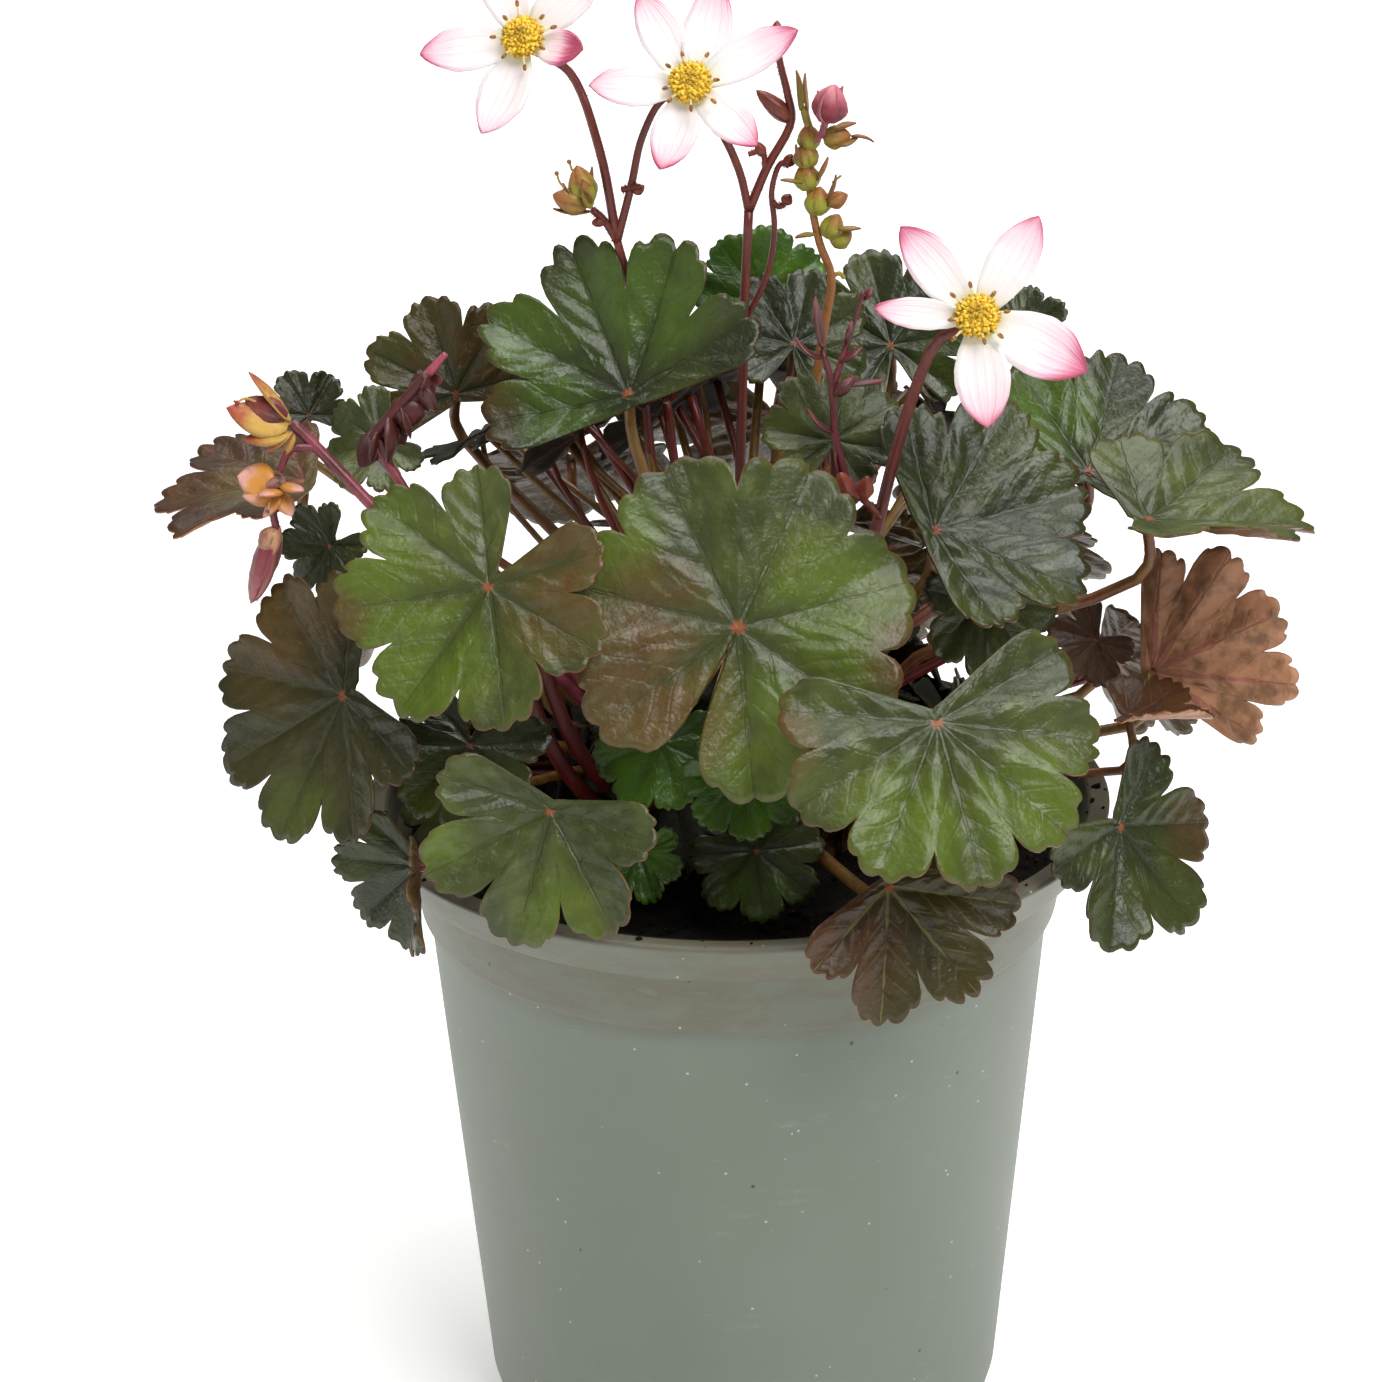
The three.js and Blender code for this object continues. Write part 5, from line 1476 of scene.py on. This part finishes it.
def cutDrainHoles(piece):
    # a cutter of eight posts that is gone again after the cut
    bm = bmesh.new()
    for k in range(pot["holes"]):
        at = roundAt(pot["holeCircle"], 2 * math.pi * k / pot["holes"], pot["holeMiddle"])
        radius, depth = pot["holeRadius"], pot["holeDepth"]
        bmesh.ops.create_cone(
            bm, cap_ends=True, segments=pot["holeSteps"], radius1=radius, radius2=radius, depth=depth,
            matrix=Matrix.Translation(at),
        )
    cutter = newObject("holeCutter", bm, piece.data.materials[0])
    cut = piece.modifiers.new("drainHoles", "BOOLEAN")
    cut.operation, cut.solver, cut.object = "DIFFERENCE", "EXACT", cutter
    bpy.context.view_layer.update()
    whole = piece.evaluated_get(bpy.context.evaluated_depsgraph_get())
    cutMesh = bpy.data.meshes.new_from_object(whole)
    piece.modifiers.remove(cut)
    piece.data = cutMesh
    cutMesh.name = piece.name
    bpy.data.objects.remove(cutter)


def makePot():
    bm = bmesh.new()
    spunShape(bm, pot["outside"] + pot["inside"], pot["steps"])
    sharp = [edge for edge in bm.edges if edge.calc_face_angle(0) > pot["cornerAngle"]]
    corners = [edge for edge in sharp if edge.verts[0].co.to_2d().length > pot["innermostCorner"]]
    bmesh.ops.bevel(
        bm, geom=corners, offset=pot["cornerRound"], segments=pot["cornerSteps"], profile=0.5, affect="EDGES",
        material=-1,
    )
    piece = finishPiece("plasticPot", bm, potPaint(), "pot", "pot")
    cutDrainHoles(piece)
    piece.data.shade_smooth()
    piece.data.set_sharp_from_angle(angle=math.radians(pot["sharpFrom"]))
    print("pot made")


soil = {
    "level": 0.111, "rimRadius": 0.0572, "rings": 34, "steps": 110, "rough": 0.0016, "clodScale": 90,
    "lumpScale": 330, "crumbs": 1100, "crumbSmall": 0.0003, "crumbLarge": 0.0015, "crumbLeast": 0.0002,
    "onRim": 60, "rimReaches": (0.0618, 0.0627, 0.0638), "rimTop": 0.1181, "batch": 100,
    "crumbRough": 0.0003, "crumbRoughScale": 900, "side": [
        (0.0557, 0.1082), (0.0538, 0.1), (0.0524, 0.0969), (0.045, 0.006), (0.0433, 0.0025), (0, 0.0025),
    ],
}
soilTones = {"dark": "080605", "light": "1c1510", "grain": "3a2818", "grit": "8a5424"}


def soilPaint():
    paint = newPaint("darkSoil", {"Specular IOR Level": 0.2, "Roughness": 0.9})
    place = surfacePlace()
    clods = cloud(place, 180, 5, 0.7)
    grain = cloud(place, 1300, 4, 0.7)
    colour = layered(
        soilTones["dark"],
        (faded(clods, 0.35, 0.7), soilTones["light"]),
        (faded(grain, 0.62, 0.72, 0.0, 0.5), soilTones["grain"]),
        (faded(cells(place, 420), 0.03, 0.09, 0.9, 0.0), soilTones["grit"]),
    )
    dress(colour, grain, 0.0008)
    return paint


def soilHeight(x, y):
    spot = Vector((x, y, 0))
    lumps = noise.noise(spot * soil["clodScale"]) + 0.5 * noise.noise(spot * soil["lumpScale"])
    return soil["level"] + soil["rough"] * lumps


def addCrumb(bm, at, size):
    # a small lump, turned and stretched at random
    place = Matrix.Translation(at) @ Matrix.Rotation(random.uniform(0, math.pi), 4, random.choice("XYZ"))
    stretch = (random.uniform(0.6, 1.6), random.uniform(0.6, 1.3), random.uniform(0.5, 1), 1)
    ball(bm, place @ Matrix.Diagonal(stretch), size, 1)


def makeSoil():
    random.seed(5)
    paint = soilPaint()
    bm = bmesh.new()
    rings = [(soil["rimRadius"] * k / soil["rings"], soil["level"]) for k in range(soil["rings"] + 1)]
    for vert in spunShape(bm, rings + soil["side"], soil["steps"]):
        if vert.co.z > soil["level"] - 0.0005:
            vert.co.z = soilHeight(vert.co.x, vert.co.y)
    finishPiece("pottingSoil", bm, paint, "soil", "potting_soil")
    bm = bmesh.new()
    part = bmesh.new()
    for k in range(soil["crumbs"]):
        turn = random.uniform(0, 2 * math.pi)
        at = roundAt(soil["rimRadius"] * math.sqrt(random.uniform(0.05, 0.97)), turn)
        size = random.uniform(soil["crumbSmall"], soil["crumbLarge"]) * random.random()
        size = max(size, soil["crumbLeast"])
        at.z = soilHeight(at.x, at.y) + 0.3 * size
        addCrumb(part, at, size)
        if k % soil["batch"] == 0:
            pour(bm, part)
            part = bmesh.new()
    for k in range(soil["onRim"]):
        turn, reach = random.uniform(0, 2 * math.pi), random.choice(soil["rimReaches"])
        reach += random.uniform(-0.0005, 0.0004)
        size = 0.0006 * random.random() ** 2 + 0.00012
        addCrumb(part, roundAt(reach, turn, soil["rimTop"]), size)
    pour(bm, part)
    for vert in bm.verts:
        vert.co += soil["crumbRough"] * noise.noise_vector(vert.co * soil["crumbRoughScale"])
    finishPiece("soilCrumbs", bm, paint, "soil")
    print("soil made")


# The studio: a pale floor, a bright round wall that only the camera sees, and soft boxes of light
studio = {
    "world": 0.22, "worldColour": (1, 0.96, 0.87, 1), "floorSize": 6, "floorGap": 0.0002,
    "glowNear": 0.4, "glowFar": 0.95, "glowFrom": 0.2, "glowTo": 1.3,
    "wallRadius": 2.6, "wallHeight": 3.2, "wallDrop": 0.1, "wallSteps": 48, "aim": (0, 0, 0.15),
    "boxes": {  # place, power in watts, side
        "keyBox": ((0.42, -0.6, 1.05), 11.5, 0.6),
        "fillBox": ((-0.8, -0.6, 0.5), 1.3, 0.8),
        "topBox": ((0.0, 0.3, 1.1), 8, 0.7),
    },
}


def farGlow():
    # the floor brightens away from the pot, as a lit cloth does
    away = newNode("VectorMath", {0: surfacePlace()}, "Value", operation="LENGTH")
    return faded(away, studio["glowFrom"], studio["glowTo"], studio["glowNear"], studio["glowFar"])


def stagePiece(name, bm, glow):
    paint = newPaint(name, {
        "Roughness": 0.95, "Specular IOR Level": 0.05, "Base Color": (0.9, 0.9, 0.9, 1),
        "Emission Color": (1, 1, 1, 1),
    })
    feed(shader.inputs["Emission Strength"], glow())
    piece = newObject(name, bm, paint)
    return piece


def makeStudio():
    bm = bmesh.new()
    below = Matrix.Translation((0, 0, -studio["floorGap"]))
    bmesh.ops.create_grid(bm, x_segments=4, y_segments=4, size=studio["floorSize"], matrix=below)
    stagePiece("paleFloor", bm, farGlow)
    bm = bmesh.new()
    middle = Matrix.Translation((0, 0, studio["wallHeight"] / 2 - studio["wallDrop"]))
    bmesh.ops.create_cone(
        bm, segments=studio["wallSteps"], radius1=studio["wallRadius"], radius2=studio["wallRadius"],
        depth=studio["wallHeight"], matrix=middle,
    )
    bmesh.ops.reverse_faces(bm, faces=bm.faces[:])
    wall = stagePiece("brightWall", bm, lambda: 1.0)
    wall.visible_diffuse = wall.visible_glossy = wall.visible_transmission = wall.visible_shadow = False
    world = bpy.data.worlds.new("studio")
    world.use_nodes = True
    background = world.node_tree.nodes["Background"]
    background.inputs["Color"].default_value = studio["worldColour"]
    background.inputs["Strength"].default_value = studio["world"]
    scene.world = world
    for name, (at, power, size) in studio["boxes"].items():
        light = bpy.data.lights.new(name, "AREA")
        light.energy, light.size = power, size
        lamp = bpy.data.objects.new(name, light)
        scene.collection.objects.link(lamp)
        lamp.matrix_world = aimed(at, Vector(studio["aim"]) - Vector(at), "-Z")
    scene.view_settings.view_transform = "Standard"
    print("studio made")


placeCamera()
makePot()
makeSoil()
heartLeaves, upperLeaves, skirtLeaves = planInnerLeaves()
makeCrown(heartLeaves, upperLeaves, skirtLeaves)
makeLeaves(heartLeaves + upperLeaves, skirtLeaves)
makeStems()
makeHeads()
makeYoungGrowth()
makeBlooms()
makeStudio()
